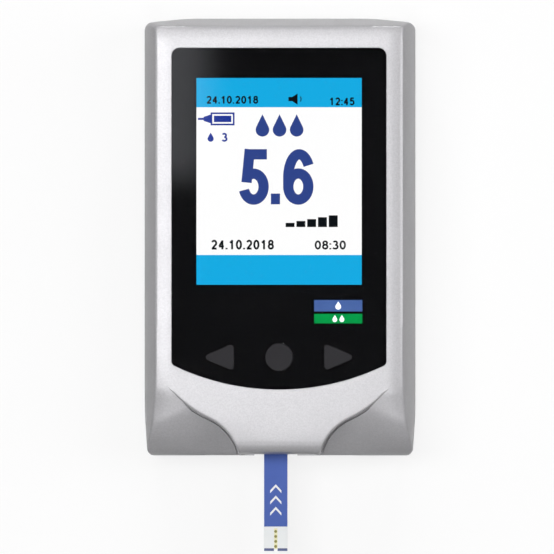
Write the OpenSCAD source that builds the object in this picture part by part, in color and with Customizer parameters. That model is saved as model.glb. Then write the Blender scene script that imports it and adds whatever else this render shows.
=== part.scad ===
// Hand-held blood glucose meter lying on its back, with a test strip in its port.
// X runs across the meter, Y along it towards the top of the screen and Z up through the front face.
// The origin is the middle of the flat back. All lengths are in millimetres.

/* [Case] */
// Width across the parting line
case_w = 58; // [57:0.5:64]
// Length from the strip end to the top end
case_l = 93.5; // [92:0.5:100]
// Depth from the back to the front face
case_h = 23; // [22.5:0.5:27]
// Wall of the two covers
wall = 1.8; // [1.5:0.1:2.1]
// Height of the parting line above the back
parting_z = 11.5; // [10.5:0.5:12.5]
// How far each side leans in between the parting line and the front face
side_draft = 2.7; // [2:0.1:3.2]
// Radius of the long edges round the back
back_r = 3; // [2:0.25:4]
// Radius of the edge round the front face
front_r = 1; // [0.5:0.1:1.4]

/* [Shoulders] */
// Distance from the strip end at which the shoulders start to fall away
shoulder_l = 15.2; // [14:0.2:15.6]
// Fall of the upper part of the shoulders, in degrees
shoulder_fall = 38; // [30:1:40]
// Distance from the strip end at which the shoulders steepen
shoulder_knee_l = 6.3; // [5:0.1:7]
// Fall of the lower part of the shoulders, in degrees
shoulder_end_fall = 49; // [42:1:50]
// Radius where the front face rolls over into a shoulder
shoulder_r = 8; // [5:0.5:10]
// Radius of the convex upper part of the crease
crease_upper_r = 25; // [23:0.5:26]
// Radius of the hollow lower part of the crease
crease_lower_r = 11.5; // [10.5:0.25:12]
// How far the end of the tongue stands back from the shoulders
tongue_setback = 0.3; // [0.1:0.1:0.5]

/* [Window] */
// Distance from the widest line of the case to the window on each side
window_side_gap = 6.1; // [5.8:0.1:6.7]
// Distance from the top end of the case to the window
window_top_gap = 6.45; // [5.5:0.05:7]
// Distance from the strip end of the case to the lowest point of the window's curved bottom edge
window_end_gap = 14.2; // [13.6:0.1:15]
// Radius of the curved bottom edge
window_arc_r = 51.7; // [48:0.5:60]
// Radius of the two top corners
window_corner_r = 1.7; // [1:0.1:3]
// Thickness of the clear window
window_t = 1.1; // [0.8:0.1:1.3]
// Ledge that carries the window all round
ledge_w = 1.5; // [1:0.1:1.8]

/* [Screen] */
// Distance from the window's sides to the picture
screen_side_gap = 5.27; // [5:0.01:6.9]
// Distance from the window's top edge to the picture
screen_top_gap = 6.4; // [6:0.1:7.5]
// Distance from the window's lowest point to the picture
screen_end_gap = 22.35; // [22:0.05:26]
// Thickness of the display panel
glass_t = 1.3; // [1:0.1:1.6]
// Thickness of the light guide
backlight_t = 1.6; // [1.2:0.1:1.8]

/* [Keys] */
// Diameter of the middle key
key_d = 5.67; // [5:0.1:6.2]
// Length of each arrow key from its base to its sharp tip
arrow_l = 6.7; // [6:0.1:7]
// Height of each arrow key across its sharp corners
arrow_h = 5.7; // [5:0.1:6]
// Distance from the window's side to the tip of an arrow key
arrow_side_gap = 6.48; // [5.9:0.02:7]
// Corner radius of the arrow keys
arrow_r = 0.65; // [0.4:0.05:0.9]
// Distance from the window's lowest point to the line of the keys
key_gap = 6.9; // [6.6:0.1:7.2]
// How far the keys stand out of the window
key_proud = 0.5; // [0.4:0.05:0.8]
// Travel of a key
key_travel = 0.5; // [0.3:0.05:0.55]

/* [Board] */
// Thickness of the circuit board
board_t = 1.2; // [0.8:0.1:1.4]

/* [Batteries] */
// Diameter of a cell
cell_d = 10.5; // [9.5:0.1:10.6]
// Length of a cell with its button end
cell_l = 44.5; // [43:0.1:44.8]
// Length of a contact spring with the cell in place
spring_l = 2.8; // [2.4:0.1:3.2]
// Thickness of the battery door
door_t = 1.6; // [1.4:0.1:1.8]

/* [Test strip] */
// Width of the strip
strip_w = 5.1; // [4.5:0.1:5.5]
// Whole length of the strip
strip_l = 31; // [29:0.5:36]
// Thickness of the strip's base
strip_base_t = 0.28; // [0.2:0.02:0.36]
// Thickness of the layers on the base
strip_cover_t = 0.22; // [0.16:0.02:0.3]
// How far the strip goes into the case
strip_depth = 10.55; // [9:0.25:10.75]
// Distance of the strip from the middle of the case
port_x = -0.9; // [-2:0.1:0]
// Travel of the ejector
ejector_travel = 7; // [5:0.25:7.5]

/* [Hidden] */
$fn = 64;

// Colours
silver = "#c9c8cc";
grey_silver = "#a9a8ad";
black = "#0e0e10";
key_grey = "#39393b";
board_green = "#1f6b45";
metal = "#c6c2b8";
strip_blue = "#4f62b4";
white = "#f2f4f4";

// Fits
slide_gap = 0.1;      // between pieces that slide on each other
seat_gap = 0.1;       // round a piece that drops into a pocket
hair = 0.02;          // between faces that bear on each other
far = 60;             // longer than half of the case

// Case
half_w = case_w / 2;
half_l = case_l / 2;
back_draft = 1.7;                       // how far the sides lean in towards the back
face_half_w = half_w - side_draft;
end_y = -half_l;                        // strip end
tongue_y = end_y + tongue_setback;      // end of the tongue
face_y = end_y + tongue_setback + 0.4;
tongue_r = 3.4;
knee = [0.95, 7];                       // the sides bend here: in from the parting line, and above it
lip_t = 0.8;
lip_h = 1;
parting_r = 1.5;
end_corner_r = 1.6;
top_corner_r = 2;
foot_narrow = 0.65;                     // how far the case narrows at the strip end
foot_l = 9;                             // length over which it narrows
crown = 0.95;                           // how far the top end drops at its corners
crown_half_w = 20;                      // half the width of the level part of the top end
sweep_r = 60;                           // radius that blends these shallow bends
knee_r = 20;

plan = [[-half_w + foot_narrow, end_y], [half_w - foot_narrow, end_y], [half_w, end_y + foot_l],
    [half_w, half_l - crown], [crown_half_w, half_l], [-crown_half_w, half_l],
    [-half_w, half_l - crown], [-half_w, end_y + foot_l]];
plan_r = [end_corner_r, end_corner_r, sweep_r, top_corner_r, sweep_r, sweep_r, top_corner_r, sweep_r];
across = [[-half_w + back_draft, 0], [half_w - back_draft, 0], [half_w, parting_z],
    [half_w - knee[0], parting_z + knee[1]], [face_half_w, case_h], [-face_half_w, case_h],
    [-half_w + knee[0], parting_z + knee[1]], [-half_w, parting_z]];
across_r = [back_r, back_r, parting_r, knee_r, front_r, front_r, knee_r, parting_r];
along = [[end_y + 1.3, 0], [half_l - 1.5, 0], [half_l, parting_z], [half_l - 1.5, case_h],
    [face_y, case_h], [end_y, parting_z]];
along_r = [back_r, back_r, parting_r, front_r, tongue_r, parting_r];

// Crease between tongue and shoulder: two arcs that meet where both point the same way
crease_dir = [0.424, -0.9057];
crease_middle = [4.4, 30.65];           // middle of the upper arc from the middle of the strip end
crease_upper = [crease_middle[0], end_y + crease_middle[1]];
crease_bend = crease_upper + crease_upper_r * crease_dir;
crease_lower = crease_bend + crease_lower_r * crease_dir;

// Heights of the stack under the window
window_z = case_h - window_t;
mask_t = 0.15;
mask_z = window_z - mask_t;
ledge_t = 1.5;
gasket_t = 0.4;
glass_z = mask_z - gasket_t - glass_t;
backlight_z = glass_z - backlight_t;
tray_t = 0.2;
board_top = backlight_z - tray_t;
board_z = board_top - board_t;

// Window outline
window_w = case_w - 2 * window_side_gap;
window_l = case_l - window_top_gap - window_end_gap;
window_top = half_l - window_top_gap;
window_arc_y = window_top - window_l + window_arc_r;
window_low_r = 1.1;
key_y = window_top - window_l + key_gap;
arrow_x = window_w / 2 - arrow_side_gap - arrow_l;
arrow = [[arrow_x, key_y - arrow_h / 2], [arrow_x + arrow_l, key_y], [arrow_x, key_y + arrow_h / 2]];
arrow_radii = [arrow_r, arrow_r, arrow_r];
key_fit = 0.15;

// Display
screen_w = window_w - 2 * screen_side_gap;
screen_l = window_l - screen_top_gap - screen_end_gap;
screen_top = window_top - screen_top_gap;
screen_y = screen_top - screen_l;
glass_side = 2.2;
glass_top = 2;
glass_foot = 7.6;
tray_wall = 0.6;
tray_half_w = screen_w / 2 + glass_side + seat_gap + tray_wall;
tray_y = screen_y - glass_foot - seat_gap - tray_wall;
flex_half_w = 7;
flex_t = 0.15;

// Board and its screws
board_half_w = half_w - side_draft * (board_top - parting_z) / (case_h - parting_z) - wall - 1;
board_top_y = half_l - wall - 2;
board_end_gap = 11.9;
board_low_y = end_y + board_end_gap;
board_corner_r = 2;
tail_half_w = 6.9;
tail_y = end_y + 3.9;
board_screw_x = (tray_half_w + board_half_w) / 2 + 0.1;
board_screw_in = 4;                     // upper pair, below the picture's top edge
board_screw_out = 9.5;                  // lower pair, below its bottom edge
board_screw_y = [screen_top - board_screw_in, screen_y - board_screw_out];
board_post_r = 1.75;
board_screw_r = 0.75;
board_head_r = 1.5;
board_head_t = 1;

// Case screws
case_screw_side = 7.4;
case_screw_end = [8.25, 7.25];
case_screw_x = half_w - case_screw_side;
case_screw_y = [end_y + case_screw_end[0], half_l - case_screw_end[1]];
rear_post_r = 3;
front_post_r = 2.4;
case_screw_r = 1;
case_head_r = 2.1;
case_head_t = 1.5;
counterbore_z = 2.3;
case_screw_top = [parting_z + 4.2, board_top];

// Keys and switches
flange_w = 0.9;
flange_t = 0.8;
flange_top = mask_z - 0.05;
key_foot_r = 1.6;
switch_w = 4.5;
switch_h = 1.1;
stem_r = 1;
stem_top = flange_top - flange_t - 0.6;
stem_l = stem_top - board_top - 0.15 - key_travel - 0.05;
key_x = [-arrow_x - arrow_l * 0.36, 0, arrow_x + arrow_l * 0.36];

// Batteries
cell_gap = 0.4;
cell_x = cell_d / 2 + cell_gap / 2;
plate_t = 0.3;
door_clear = 0.6;
cell_z = door_t + door_clear + cell_d / 2;
bay_wall = 1.2;
bay_half_w = cell_x + cell_d / 2 + cell_gap;
bay_l = cell_l + spring_l + 2 * plate_t + 3 * hair;
bay_top = half_l - 4.9;
bay_y = bay_top - bay_l;
bay_ceiling = cell_z + cell_d / 2 + 0.3;
button_end_r = 1.9;
button_end_l = 1;
spring_wire = 0.4;
spring_turns = 2.5;

// Battery door
door_half_w = bay_half_w + 3.9;
door_y = bay_y - 3.3;
tongue_w = 0.8;
tongue_t = 0.7;
tongue_z = (door_t - tongue_t) / 2;
rail_w = 2.6;
rail_top = door_t + slide_gap + 1;

// Strip, its socket and the ejector
strip_t = strip_base_t + strip_cover_t;
strip_z = parting_z - strip_t / 2;
strip_in_y = end_y + strip_depth;
strip_out_y = strip_in_y - strip_l;
channel_w = strip_w + 0.2;
channel_z = strip_z - 0.05;
channel_t = strip_t + 0.1;
guide_half_w = 4.6;
guide_half_t = 2;
socket_half_w = 4.6;
socket_y = end_y + wall + tongue_setback + 0.25;
socket_l = 10.4;
socket_back = socket_y + socket_l;
socket_z = strip_z - 1.3;
contact_count = 5;
contact_pitch = 0.92;
contact_w = 0.45;
contact_slot_w = 0.6;
ejector_y = socket_back + ejector_travel + 3;
pad_half_w = 5;
pad_l = 7;
pad_z = 0.15;
pad_t = 0.8;
pocket_z = pad_z + pad_t + 0.1;
pocket_top = pocket_z + 1.3;
ejector_stem_half_w = 1.3;
ejector_stem_l = 3.6;
pusher_half_w = strip_w / 2 - 0.25;
carriage_z = pocket_top + 0.05;
carriage_t = 1.2;
carriage_half = 4;
column_l = 3;
column_half_w = 1.6;

// Outlines

function unit(v) = v / norm(v);
function next(p, i) = (i + 1) % len(p);
function last(p, i) = (i + len(p) - 1) % len(p);
function inward(p, i) = let (u = unit(p[next(p, i)] - p[i])) [-u[1], u[0]];
function inset_corner(p, i, d) =
    let (a = inward(p, last(p, i)), b = inward(p, i)) p[i] + d * (a + b) / (1 + a * b);
function inset_outline(p, d) = [for (i = [0 : len(p) - 1]) inset_corner(p, i, d)];
function inset_radii(r, d) = [for (x = r) max(x - d, 0.3)];

function is_bend(p, i) = inward(p, last(p, i)) * inward(p, i) > cos(25);

// An outline given by its sharp corners in anticlockwise order, each rounded by its own radius.
// A shallow bend is rounded in four short steps, and a true corner by a circle.
module rounded_outline(p, r) {
    polygon([for (i = [0 : len(p) - 1])
        let (a = inward(p, last(p, i)), b = inward(p, i), steps = is_bend(p, i) ? 4 : 1)
        for (k = [0 : steps]) inset_corner(p, i, r[i]) - r[i] * unit(a + (b - a) * k / steps)]);
    for (i = [0 : len(p) - 1]) if (!is_bend(p, i)) translate(inset_corner(p, i, r[i])) circle(r[i]);
}

// The same outline drawn in by d
module inset_rounded(p, r, d) rounded_outline(inset_outline(p, d), inset_radii(r, d));

module rounded_box(half_w, y0, y1, r) translate([-half_w + r, y0 + r]) {
    translate([-r, 0]) square([2 * half_w, y1 - y0 - 2 * r]);
    translate([0, -r]) square([2 * half_w - 2 * r, y1 - y0]);
    for (x = [0, 2 * half_w - 2 * r], y = [0, y1 - y0 - 2 * r]) translate([x, y]) circle(r);
}

module slab(z0, z1) translate([0, 0, z0]) linear_extrude(z1 - z0) children();
module block(x0, x1, y0, y1, z0, z1) translate([x0, y0, z0]) cube([x1 - x0, y1 - y0, z1 - z0]);
module post(x, y, z0, z1, r) translate([x, y, z0]) cylinder(h = z1 - z0, r = r);
module both_sides() for (side = [0, 1]) mirror([side, 0, 0]) children();
// A profile drawn in Y and Z and given a width along X
module across_x(x0, x1) translate([x0, 0, 0]) rotate([90, 0, 90]) linear_extrude(x1 - x0) children();

// Form of the case, drawn in by d on every side

module case_block(d) intersection() {
    slab(-1, case_h + 1) inset_rounded(plan, plan_r, d);
    rotate([90, 0, 0]) linear_extrude(2 * case_l, center = true) inset_rounded(across, across_r, d);
    across_x(-far, far) inset_rounded(along, along_r, d);
}

// Side profile that the shoulders are cut down to
shoulder_y = end_y + shoulder_l;
shoulder_bend = shoulder_y - shoulder_r * tan(shoulder_fall / 2);
shoulder_knee_y = end_y + shoulder_knee_l;
shoulder_knee_z = case_h - (shoulder_bend - shoulder_knee_y) * tan(shoulder_fall);
shoulder_low = end_y - far;
shoulder_profile = [[shoulder_low, -2 * far], [far, -2 * far], [far, case_h], [shoulder_bend, case_h],
    [shoulder_knee_y, shoulder_knee_z],
    [shoulder_low, shoulder_knee_z - (shoulder_knee_y - shoulder_low) * tan(shoulder_end_fall)]];
shoulder_radii = [1, 1, 1, shoulder_r, knee_r, 1];

module shoulder_cut(d) both_sides() intersection() {
    slab(0, case_h + 1) {
        difference() {
            translate([crease_bend[0] - d * crease_dir[0], end_y - 5]) square([far, shoulder_l + 5]);
            translate(crease_upper) circle(crease_upper_r - d);
        }
        translate(crease_lower) circle(crease_lower_r + d);
    }
    across_x(0, far) difference() {
        translate([end_y - 5, -1]) square([shoulder_l + 5, case_h + 3]);
        inset_rounded(shoulder_profile, shoulder_radii, d);
    }
}

module tongue_cut(d) block(-crease_lower[0] + crease_lower_r, crease_lower[0] - crease_lower_r,
    end_y - 5, tongue_y + d, parting_z, case_h + 1);

module case_form(d) difference() {
    case_block(d);
    shoulder_cut(d);
    tongue_cut(d);
}

// Window outline drawn in by d: straight sides, round top corners and a curved bottom edge
module window_outline(d) {
    half = window_w / 2 - d;
    top = window_top - d;
    arc = window_arc_r - d;
    top_r = max(window_corner_r - d, 0.4);
    low_r = max(window_low_r - d, 0.4);
    low_x = half - low_r;
    low_y = window_arc_y - sqrt(pow(arc - low_r, 2) - pow(low_x, 2));
    reach = 1.2;
    intersection() {
        translate([0, window_arc_y]) circle(arc);
        polygon([[0, window_arc_y], [-low_x * reach, window_arc_y + (low_y - window_arc_y) * reach],
            [low_x * reach, window_arc_y + (low_y - window_arc_y) * reach]]);
    }
    translate([-half, low_y]) square([2 * half, top - top_r - low_y]);
    translate([-half + top_r, low_y]) square([2 * (half - top_r), top - low_y]);
    for (side = [-1, 1]) {
        translate([side * low_x, low_y]) circle(low_r);
        translate([side * (half - top_r), top - top_r]) circle(top_r);
    }
}

// Outline of a key grown by g: 0 is the left arrow, 1 the round key and 2 the right arrow
module key_outline(i, g) {
    if (i == 1) translate([0, key_y]) circle(key_d / 2 + g);
    else mirror([1 - i / 2, 0]) rounded_outline(inset_outline(arrow, -g), [for (r = arrow_radii) r + g]);
}

module at_case_screws() for (i = [0, 1]) both_sides() translate([case_screw_x, case_screw_y[i], 0]) {
    $upper = i == 1;
    children();
}
module at_board_screws() for (y = board_screw_y) both_sides() translate([board_screw_x, y, 0]) children();

// Covers

module front_cover() color(silver) difference() {
    union() {
        difference() {
            case_form(0);
            block(-far, far, -far, far, -1, parting_z);
            case_form(wall);
        }
        slab(mask_z - ledge_t, case_h - wall + 0.1) window_outline(-1.2);
        intersection() {
            at_case_screws() post(0, 0, parting_z, $upper ? mask_z - ledge_t + 0.1 : case_h, front_post_r);
            case_form(wall / 2);
        }
        at_board_screws() post(0, 0, board_top, case_h - wall + 0.1, board_post_r);
    }
    slab(mask_z, case_h + 1) window_outline(-seat_gap);
    slab(mask_z - ledge_t - 0.5, case_h + 1) window_outline(ledge_w);
    at_case_screws() post(0, 0, parting_z - 1, case_screw_top[$upper ? 1 : 0] + 0.4, case_screw_r + hair);
    at_board_screws() post(0, 0, board_top - 1, mask_z - 0.9, board_screw_r + hair);
    port_seat(hair);
}

// Space of the strip port's insert in the end wall
module port_seat(g) block(port_x - guide_half_w - g, port_x + guide_half_w + g, end_y - 5,
    tongue_y + wall + 1, parting_z - guide_half_t - g, parting_z + guide_half_t + g);

module rear_cover() color(grey_silver) difference() {
    union() {
        difference() {
            case_form(0);
            block(-far, far, -far, far, parting_z, case_h + 1);
            case_form(wall);
        }
        joint_lip();
        intersection() {
            union() {
                block(-bay_half_w - bay_wall, bay_half_w + bay_wall, bay_y - bay_wall, bay_top + bay_wall,
                    wall / 2, bay_ceiling + bay_wall);
                block(-door_half_w - rail_w, door_half_w + rail_w, door_y - rail_w, half_l,
                    wall / 2, rail_top);
                block(port_x - pad_half_w - 2, port_x + pad_half_w + 2, ejector_y - ejector_travel - pad_l,
                    ejector_y + pad_l, wall / 2, pocket_top);
            }
            case_form(wall / 2);
        }
        at_case_screws() post(0, 0, wall / 2, parting_z, rear_post_r);
    }
    battery_bay();
    at_case_screws() {
        post(0, 0, -1, counterbore_z, case_head_r + 0.2);
        post(0, 0, 0, parting_z + 1, case_screw_r + 0.2);
    }
    ejector_pocket();
    port_seat(hair);
}

// Lip that stands up inside the front cover's wall
module joint_lip() difference() {
    union() {
        intersection() {
            case_form(wall / 2);
            block(-far, far, -far, far, parting_z - lip_h, parting_z);
        }
        intersection() {
            case_form(wall + slide_gap);
            block(-far, far, -far, far, parting_z - lip_h, parting_z + lip_h);
        }
    }
    case_form(wall + slide_gap + lip_t);
}

// Room for the cells, the door's seat and its two grooves
module battery_bay() {
    block(-bay_half_w, bay_half_w, bay_y, bay_top, -1, bay_ceiling);
    block(-door_half_w - slide_gap, door_half_w + slide_gap, door_y - slide_gap, far, -1, door_t + slide_gap);
    block(-door_half_w - tongue_w - slide_gap, door_half_w + tongue_w + slide_gap, door_y - slide_gap,
        far, tongue_z - slide_gap, tongue_z + tongue_t + slide_gap);
    block(-latch_half_w - slide_gap, latch_half_w + slide_gap, door_y - latch_l - slide_gap, door_y,
        tongue_z - slide_gap, tongue_z + tongue_t + slide_gap);
    for (x = tail_x) block(x - 1.2, x + 1.2, bay_y - 0.01, bay_y + plate_t + 0.2, bay_ceiling - 1,
        bay_ceiling + bay_wall + 1);
}
latch_half_w = 4;
latch_l = 1.4;
tail_x = [-cell_x, cell_x];

module ejector_pocket() {
    block(port_x - pad_half_w - 0.3, port_x + pad_half_w + 0.3, ejector_y - ejector_travel - pad_l / 2 - 0.4,
        ejector_y + pad_l / 2 + 0.4, -1, pocket_z);
    block(port_x - ejector_stem_half_w - slide_gap, port_x + ejector_stem_half_w + slide_gap,
        ejector_y - ejector_travel - ejector_stem_l / 2 - 0.2, ejector_y + ejector_stem_l / 2 + 0.2,
        0, pocket_top + 1);
}

// Window

module display_window() color([0.75, 0.8, 0.85, 0.4]) difference() {
    slab(window_z, case_h) window_outline(0);
    slab(window_z - 1, case_h + 1) for (i = [0 : 2]) key_outline(i, key_fit);
}

module window_mask() color(black) slab(mask_z, window_z) difference() {
    window_outline(0);
    translate([-screen_w / 2, screen_y]) square([screen_w, screen_l]);
    for (i = [0 : 2]) key_outline(i, key_fit);
}

// Display

module screen_gasket() color(black) slab(mask_z - gasket_t, mask_z) difference() {
    translate([-screen_w / 2 - 1.8, screen_y - 1.8]) square([screen_w + 3.6, screen_l + 3.6]);
    translate([-screen_w / 2 - 0.6, screen_y - 0.6]) square([screen_w + 1.2, screen_l + 1.2]);
}

module glass_outline(g) translate([-screen_w / 2 - glass_side - g, screen_y - glass_foot - g])
    square([screen_w + 2 * glass_side + 2 * g, screen_l + glass_foot + glass_top + 2 * g]);

module lcd_glass() color("#14abe5") slab(glass_z, glass_z + glass_t) glass_outline(0);

backlight_y = screen_y - 3;
module lcd_backlight() color(white) block(-screen_w / 2 - glass_side, screen_w / 2 + glass_side, backlight_y,
    screen_top + glass_top, backlight_z, glass_z);

module lcd_frame() color(metal) difference() {
    slab(board_top, glass_z + glass_t - 0.3) glass_outline(seat_gap + tray_wall);
    slab(backlight_z, case_h) glass_outline(seat_gap);
    block(-flex_half_w - 0.3, flex_half_w + 0.3, tray_y - 1, backlight_y, glass_z - flex_t - 0.2, case_h);
}

flex_low_y = tray_y - 0.25;
flex_end_y = flex_low_y - 1.5;
module lcd_flex() color("#b8742c") across_x(-flex_half_w, flex_half_w) {
    translate([flex_low_y, glass_z - flex_t]) square([backlight_y - 1 - flex_low_y, flex_t]);
    translate([flex_low_y - flex_t, board_top]) square([flex_t, glass_z - board_top]);
    translate([flex_end_y, board_top]) square([flex_low_y - flex_end_y, flex_t]);
}

// Keys

module key(i) color(key_grey) {
    slab(flange_top, case_h + key_proud) key_outline(i, 0);
    slab(flange_top - flange_t, flange_top) key_outline(i, flange_w);
    post(key_x[i], key_y, stem_top + hair, flange_top - flange_t, key_foot_r);
}
module button_left() key(0);
module button_ok() key(1);
module button_right() key(2);

module switch_stem(i) color(white) post(key_x[i], key_y, stem_top - stem_l, stem_top, stem_r);
module switch_stem_left() switch_stem(0);
module switch_stem_ok() switch_stem(1);
module switch_stem_right() switch_stem(2);

module key_switches() color("#2b2b2d") for (x = key_x) difference() {
    block(x - switch_w / 2, x + switch_w / 2, key_y - switch_w / 2, key_y + switch_w / 2, board_top,
        board_top + switch_h);
    post(x, key_y, board_top + 0.15, board_top + switch_h + 1, stem_r + slide_gap);
}

// Board

module main_board() color(board_green) difference() {
    slab(board_z, board_top) {
        rounded_box(board_half_w, board_low_y, board_top_y, board_corner_r);
        rounded_box(tail_half_w, tail_y, board_low_y + 2 * board_corner_r, board_corner_r / 2);
    }
    at_board_screws() post(0, 0, board_z - 1, board_top + 1, board_screw_r + 0.2);
    at_case_screws() if ($upper)
        block(-front_post_r - 0.5, far, -front_post_r - 0.5, far, board_z - 1, board_top + 1);
}

// Chips on the back of the board beside the battery bay: side, y, width, length and height of each
chips = [[-1, 4, 7, 7, 1], [1, 8, 5, 6, 0.9], [1, -6, 4, 5, 1.4], [-1, -8, 3.2, 2.5, 0.8]];
chip_x = (board_half_w + bay_half_w + bay_wall) / 2;
// Rows of passives: side and y of each
passive_rows = [[-1, 14], [1, 18], [-1, 22]];
passives = 4;
passive_w = 0.8;
passive_l = 1.6;
passive_h = 0.5;
flex_socket_l = 1.8;
flex_socket_h = 0.9;
module board_components() {
    color("#1a1a1c") for (c = chips) translate([c[0] * chip_x, c[1], 0])
        block(-c[2] / 2, c[2] / 2, -c[3] / 2, c[3] / 2, board_z - c[4], board_z);
    color(metal) for (row = passive_rows, n = [0 : passives - 1])
        translate([row[0] * chip_x + 2 * passive_w * (n - passives / 2), row[1], 0])
            block(0, passive_w, 0, passive_l, board_z - passive_h, board_z);
    color(white) block(-flex_half_w - 1, flex_half_w + 1, flex_end_y - flex_socket_l, flex_end_y,
        board_top, board_top + flex_socket_h);
}

buzzer_r = 4.2;
buzzer_h = 2;
buzzer_hole_r = 0.7;
buzzer_inset = [6.4, 5.9];
buzzer_at = [-board_half_w + buzzer_inset[0] + buzzer_r, board_low_y + buzzer_inset[1] + buzzer_r];
module buzzer() color("#222224") translate(buzzer_at) difference() {
    post(0, 0, board_z - buzzer_h, board_z, buzzer_r);
    post(0, 0, board_z - buzzer_h - 1, board_z - buzzer_h / 2, buzzer_hole_r);
}

case_cross_l = 2.6;
case_cross_w = 0.5;
case_cross_depth = 0.8;
module case_screws() color(metal) at_case_screws() {
    top = case_screw_top[$upper ? 1 : 0];
    difference() {
        post(0, 0, counterbore_z - case_head_t, counterbore_z, case_head_r);
        for (a = [0, 90]) rotate([0, 0, a]) block(-case_cross_l / 2, case_cross_l / 2, -case_cross_w / 2,
            case_cross_w / 2, 0, counterbore_z - case_head_t + case_cross_depth);
    }
    post(0, 0, counterbore_z, top, case_screw_r);
}

board_cross_l = 1.8;
board_cross_w = 0.4;
board_cross_depth = 0.5;
module board_screws() color(metal) at_board_screws() {
    difference() {
        post(0, 0, board_z - board_head_t, board_z, board_head_r);
        for (a = [0, 90]) rotate([0, 0, a]) block(-board_cross_l / 2, board_cross_l / 2, -board_cross_w / 2,
            board_cross_w / 2, 0, board_z - board_head_t + board_cross_depth);
    }
    post(0, 0, board_z, mask_z - 1.2, board_screw_r);
}

// Batteries

// A cell with its button end at +Y when up is 1 and at -Y when up is -1
module cell(x, up) {
    can_l = cell_l - button_end_l;
    flat_y = up > 0 ? bay_y + plate_t + spring_l + hair : bay_top - plate_t - spring_l - hair;
    translate([x, flat_y, cell_z]) rotate([-90 * up, 0, 0]) {
        cylinder(h = can_l, r = cell_d / 2);
        cylinder(h = cell_l, r = button_end_r);
    }
}
module battery_left() color("#2e7d5b") cell(-cell_x, 1);
module battery_right() color("#2e7d5b") cell(cell_x, -1);

// One round wire wound as a cone along +Z, from a wide foot to a narrow tip
spring_sides = 8;
spring_steps = 40;
spring_foot_r = 3.4;
spring_tip_r = 1.8;
function spring_point(t) = let (r = spring_foot_r + (spring_tip_r - spring_foot_r) * t,
    a = 360 * spring_turns * t) [r * cos(a), r * sin(a), spring_wire / 2 + (spring_l - spring_wire) * t];
function spring_ring(t) = let (a = 360 * spring_turns * t, out = [cos(a), sin(a), 0])
    [for (k = [0 : spring_sides - 1]) spring_point(t)
        + spring_wire / 2 * (cos(360 * k / spring_sides) * out + sin(360 * k / spring_sides) * [0, 0, 1])];
module contact_spring() polyhedron(
    points = [for (s = [0 : spring_steps]) each spring_ring(s / spring_steps)],
    faces = concat(
        [[for (k = [0 : spring_sides - 1]) k]],
        [for (s = [0 : spring_steps - 1], k = [0 : spring_sides - 1])
            let (a = s * spring_sides, b = a + spring_sides, n = (k + 1) % spring_sides)
            each [[a + k, b + k, b + n], [a + k, b + n, a + n]]],
        [[for (k = [spring_sides - 1 : -1 : 0]) spring_steps * spring_sides + k]]));

module battery_springs() color(metal) {
    translate([-cell_x, bay_y + plate_t, cell_z]) rotate([-90, 0, 0]) contact_spring();
    translate([cell_x, bay_top - plate_t, cell_z]) rotate([90, 0, 0]) contact_spring();
}

plate_half_w = 4.2;
plate_z = [cell_z - 4, cell_z + 4.2];
module battery_plates() color(metal) {
    block(-cell_x - plate_half_w, cell_x + plate_half_w, bay_top - plate_t, bay_top, plate_z[0], plate_z[1]);
    for (x = tail_x) {
        block(x - plate_half_w, x + plate_half_w, bay_y, bay_y + plate_t, plate_z[0], plate_z[1]);
        block(x - 1, x + 1, bay_y, bay_y + plate_t, plate_z[1] - 1, board_z);
    }
}

grip_ribs = 5;
module battery_door() color(grey_silver) difference() {
    union() {
        intersection() {
            case_form(0);
            block(-door_half_w, door_half_w, door_y, far, -1, door_t);
        }
        block(-door_half_w - tongue_w, door_half_w + tongue_w, door_y + 1, bay_top, tongue_z,
            tongue_z + tongue_t);
        block(-latch_half_w, latch_half_w, door_y - latch_l, door_y + 1, tongue_z, tongue_z + tongue_t);
    }
    for (n = [0 : grip_ribs - 1])
        block(-6 + n * 0.5, 6 - n * 0.5, door_y + 8 + 1.7 * n, door_y + 9 + 1.7 * n, -1, 0.4);
}

// Strip port

module strip_port_guide() color("#2b2b2d") difference() {
    block(port_x - guide_half_w, port_x + guide_half_w, tongue_y + 0.05, tongue_y + wall,
        parting_z - guide_half_t, parting_z + guide_half_t);
    block(port_x - channel_w / 2 - 0.1, port_x + channel_w / 2 + 0.1, end_y - 2, tongue_y + wall + 1,
        channel_z - 0.1, channel_z + channel_t + 0.1);
    across_x(port_x - channel_w / 2 - 0.4, port_x + channel_w / 2 + 0.4)
        polygon([[end_y - 1, parting_z - 2.2], [end_y + 1.5, parting_z - 0.2], [end_y + 1.5, parting_z + 0.2],
            [end_y - 1, parting_z + 2.2]]);
}

contact_x = [for (n = [0 : contact_count - 1]) port_x + contact_pitch * (n - (contact_count - 1) / 2)];
contact_root_y = socket_back - 1;
contact_tip_y = socket_y + 3.5;
contact_t = 0.2;
module strip_connector() color(white) difference() {
    block(port_x - socket_half_w, port_x + socket_half_w, socket_y, socket_back, socket_z, board_z);
    block(port_x - channel_w / 2, port_x + channel_w / 2, socket_y - 1, socket_back + 1, channel_z,
        channel_z + channel_t);
    for (x = contact_x) block(x - contact_slot_w / 2, x + contact_slot_w / 2, contact_tip_y - 1,
        contact_root_y, channel_z, board_z - 0.8);
    for (x = contact_x) block(x - contact_slot_w / 2, x + contact_slot_w / 2, contact_root_y - 0.8,
        contact_root_y, channel_z, board_z + 1);
}

// Flat strip of metal of thickness t bent along a path
module bent_leaf(path, t) for (i = [0 : len(path) - 2]) {
    u = unit(path[i + 1] - path[i]);
    side = t / 2 * [-u[1], u[0]];
    polygon([path[i] + side, path[i] - side, path[i + 1] - side, path[i + 1] + side]);
    if (i > 0) translate(path[i]) circle(t / 2);
}

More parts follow.
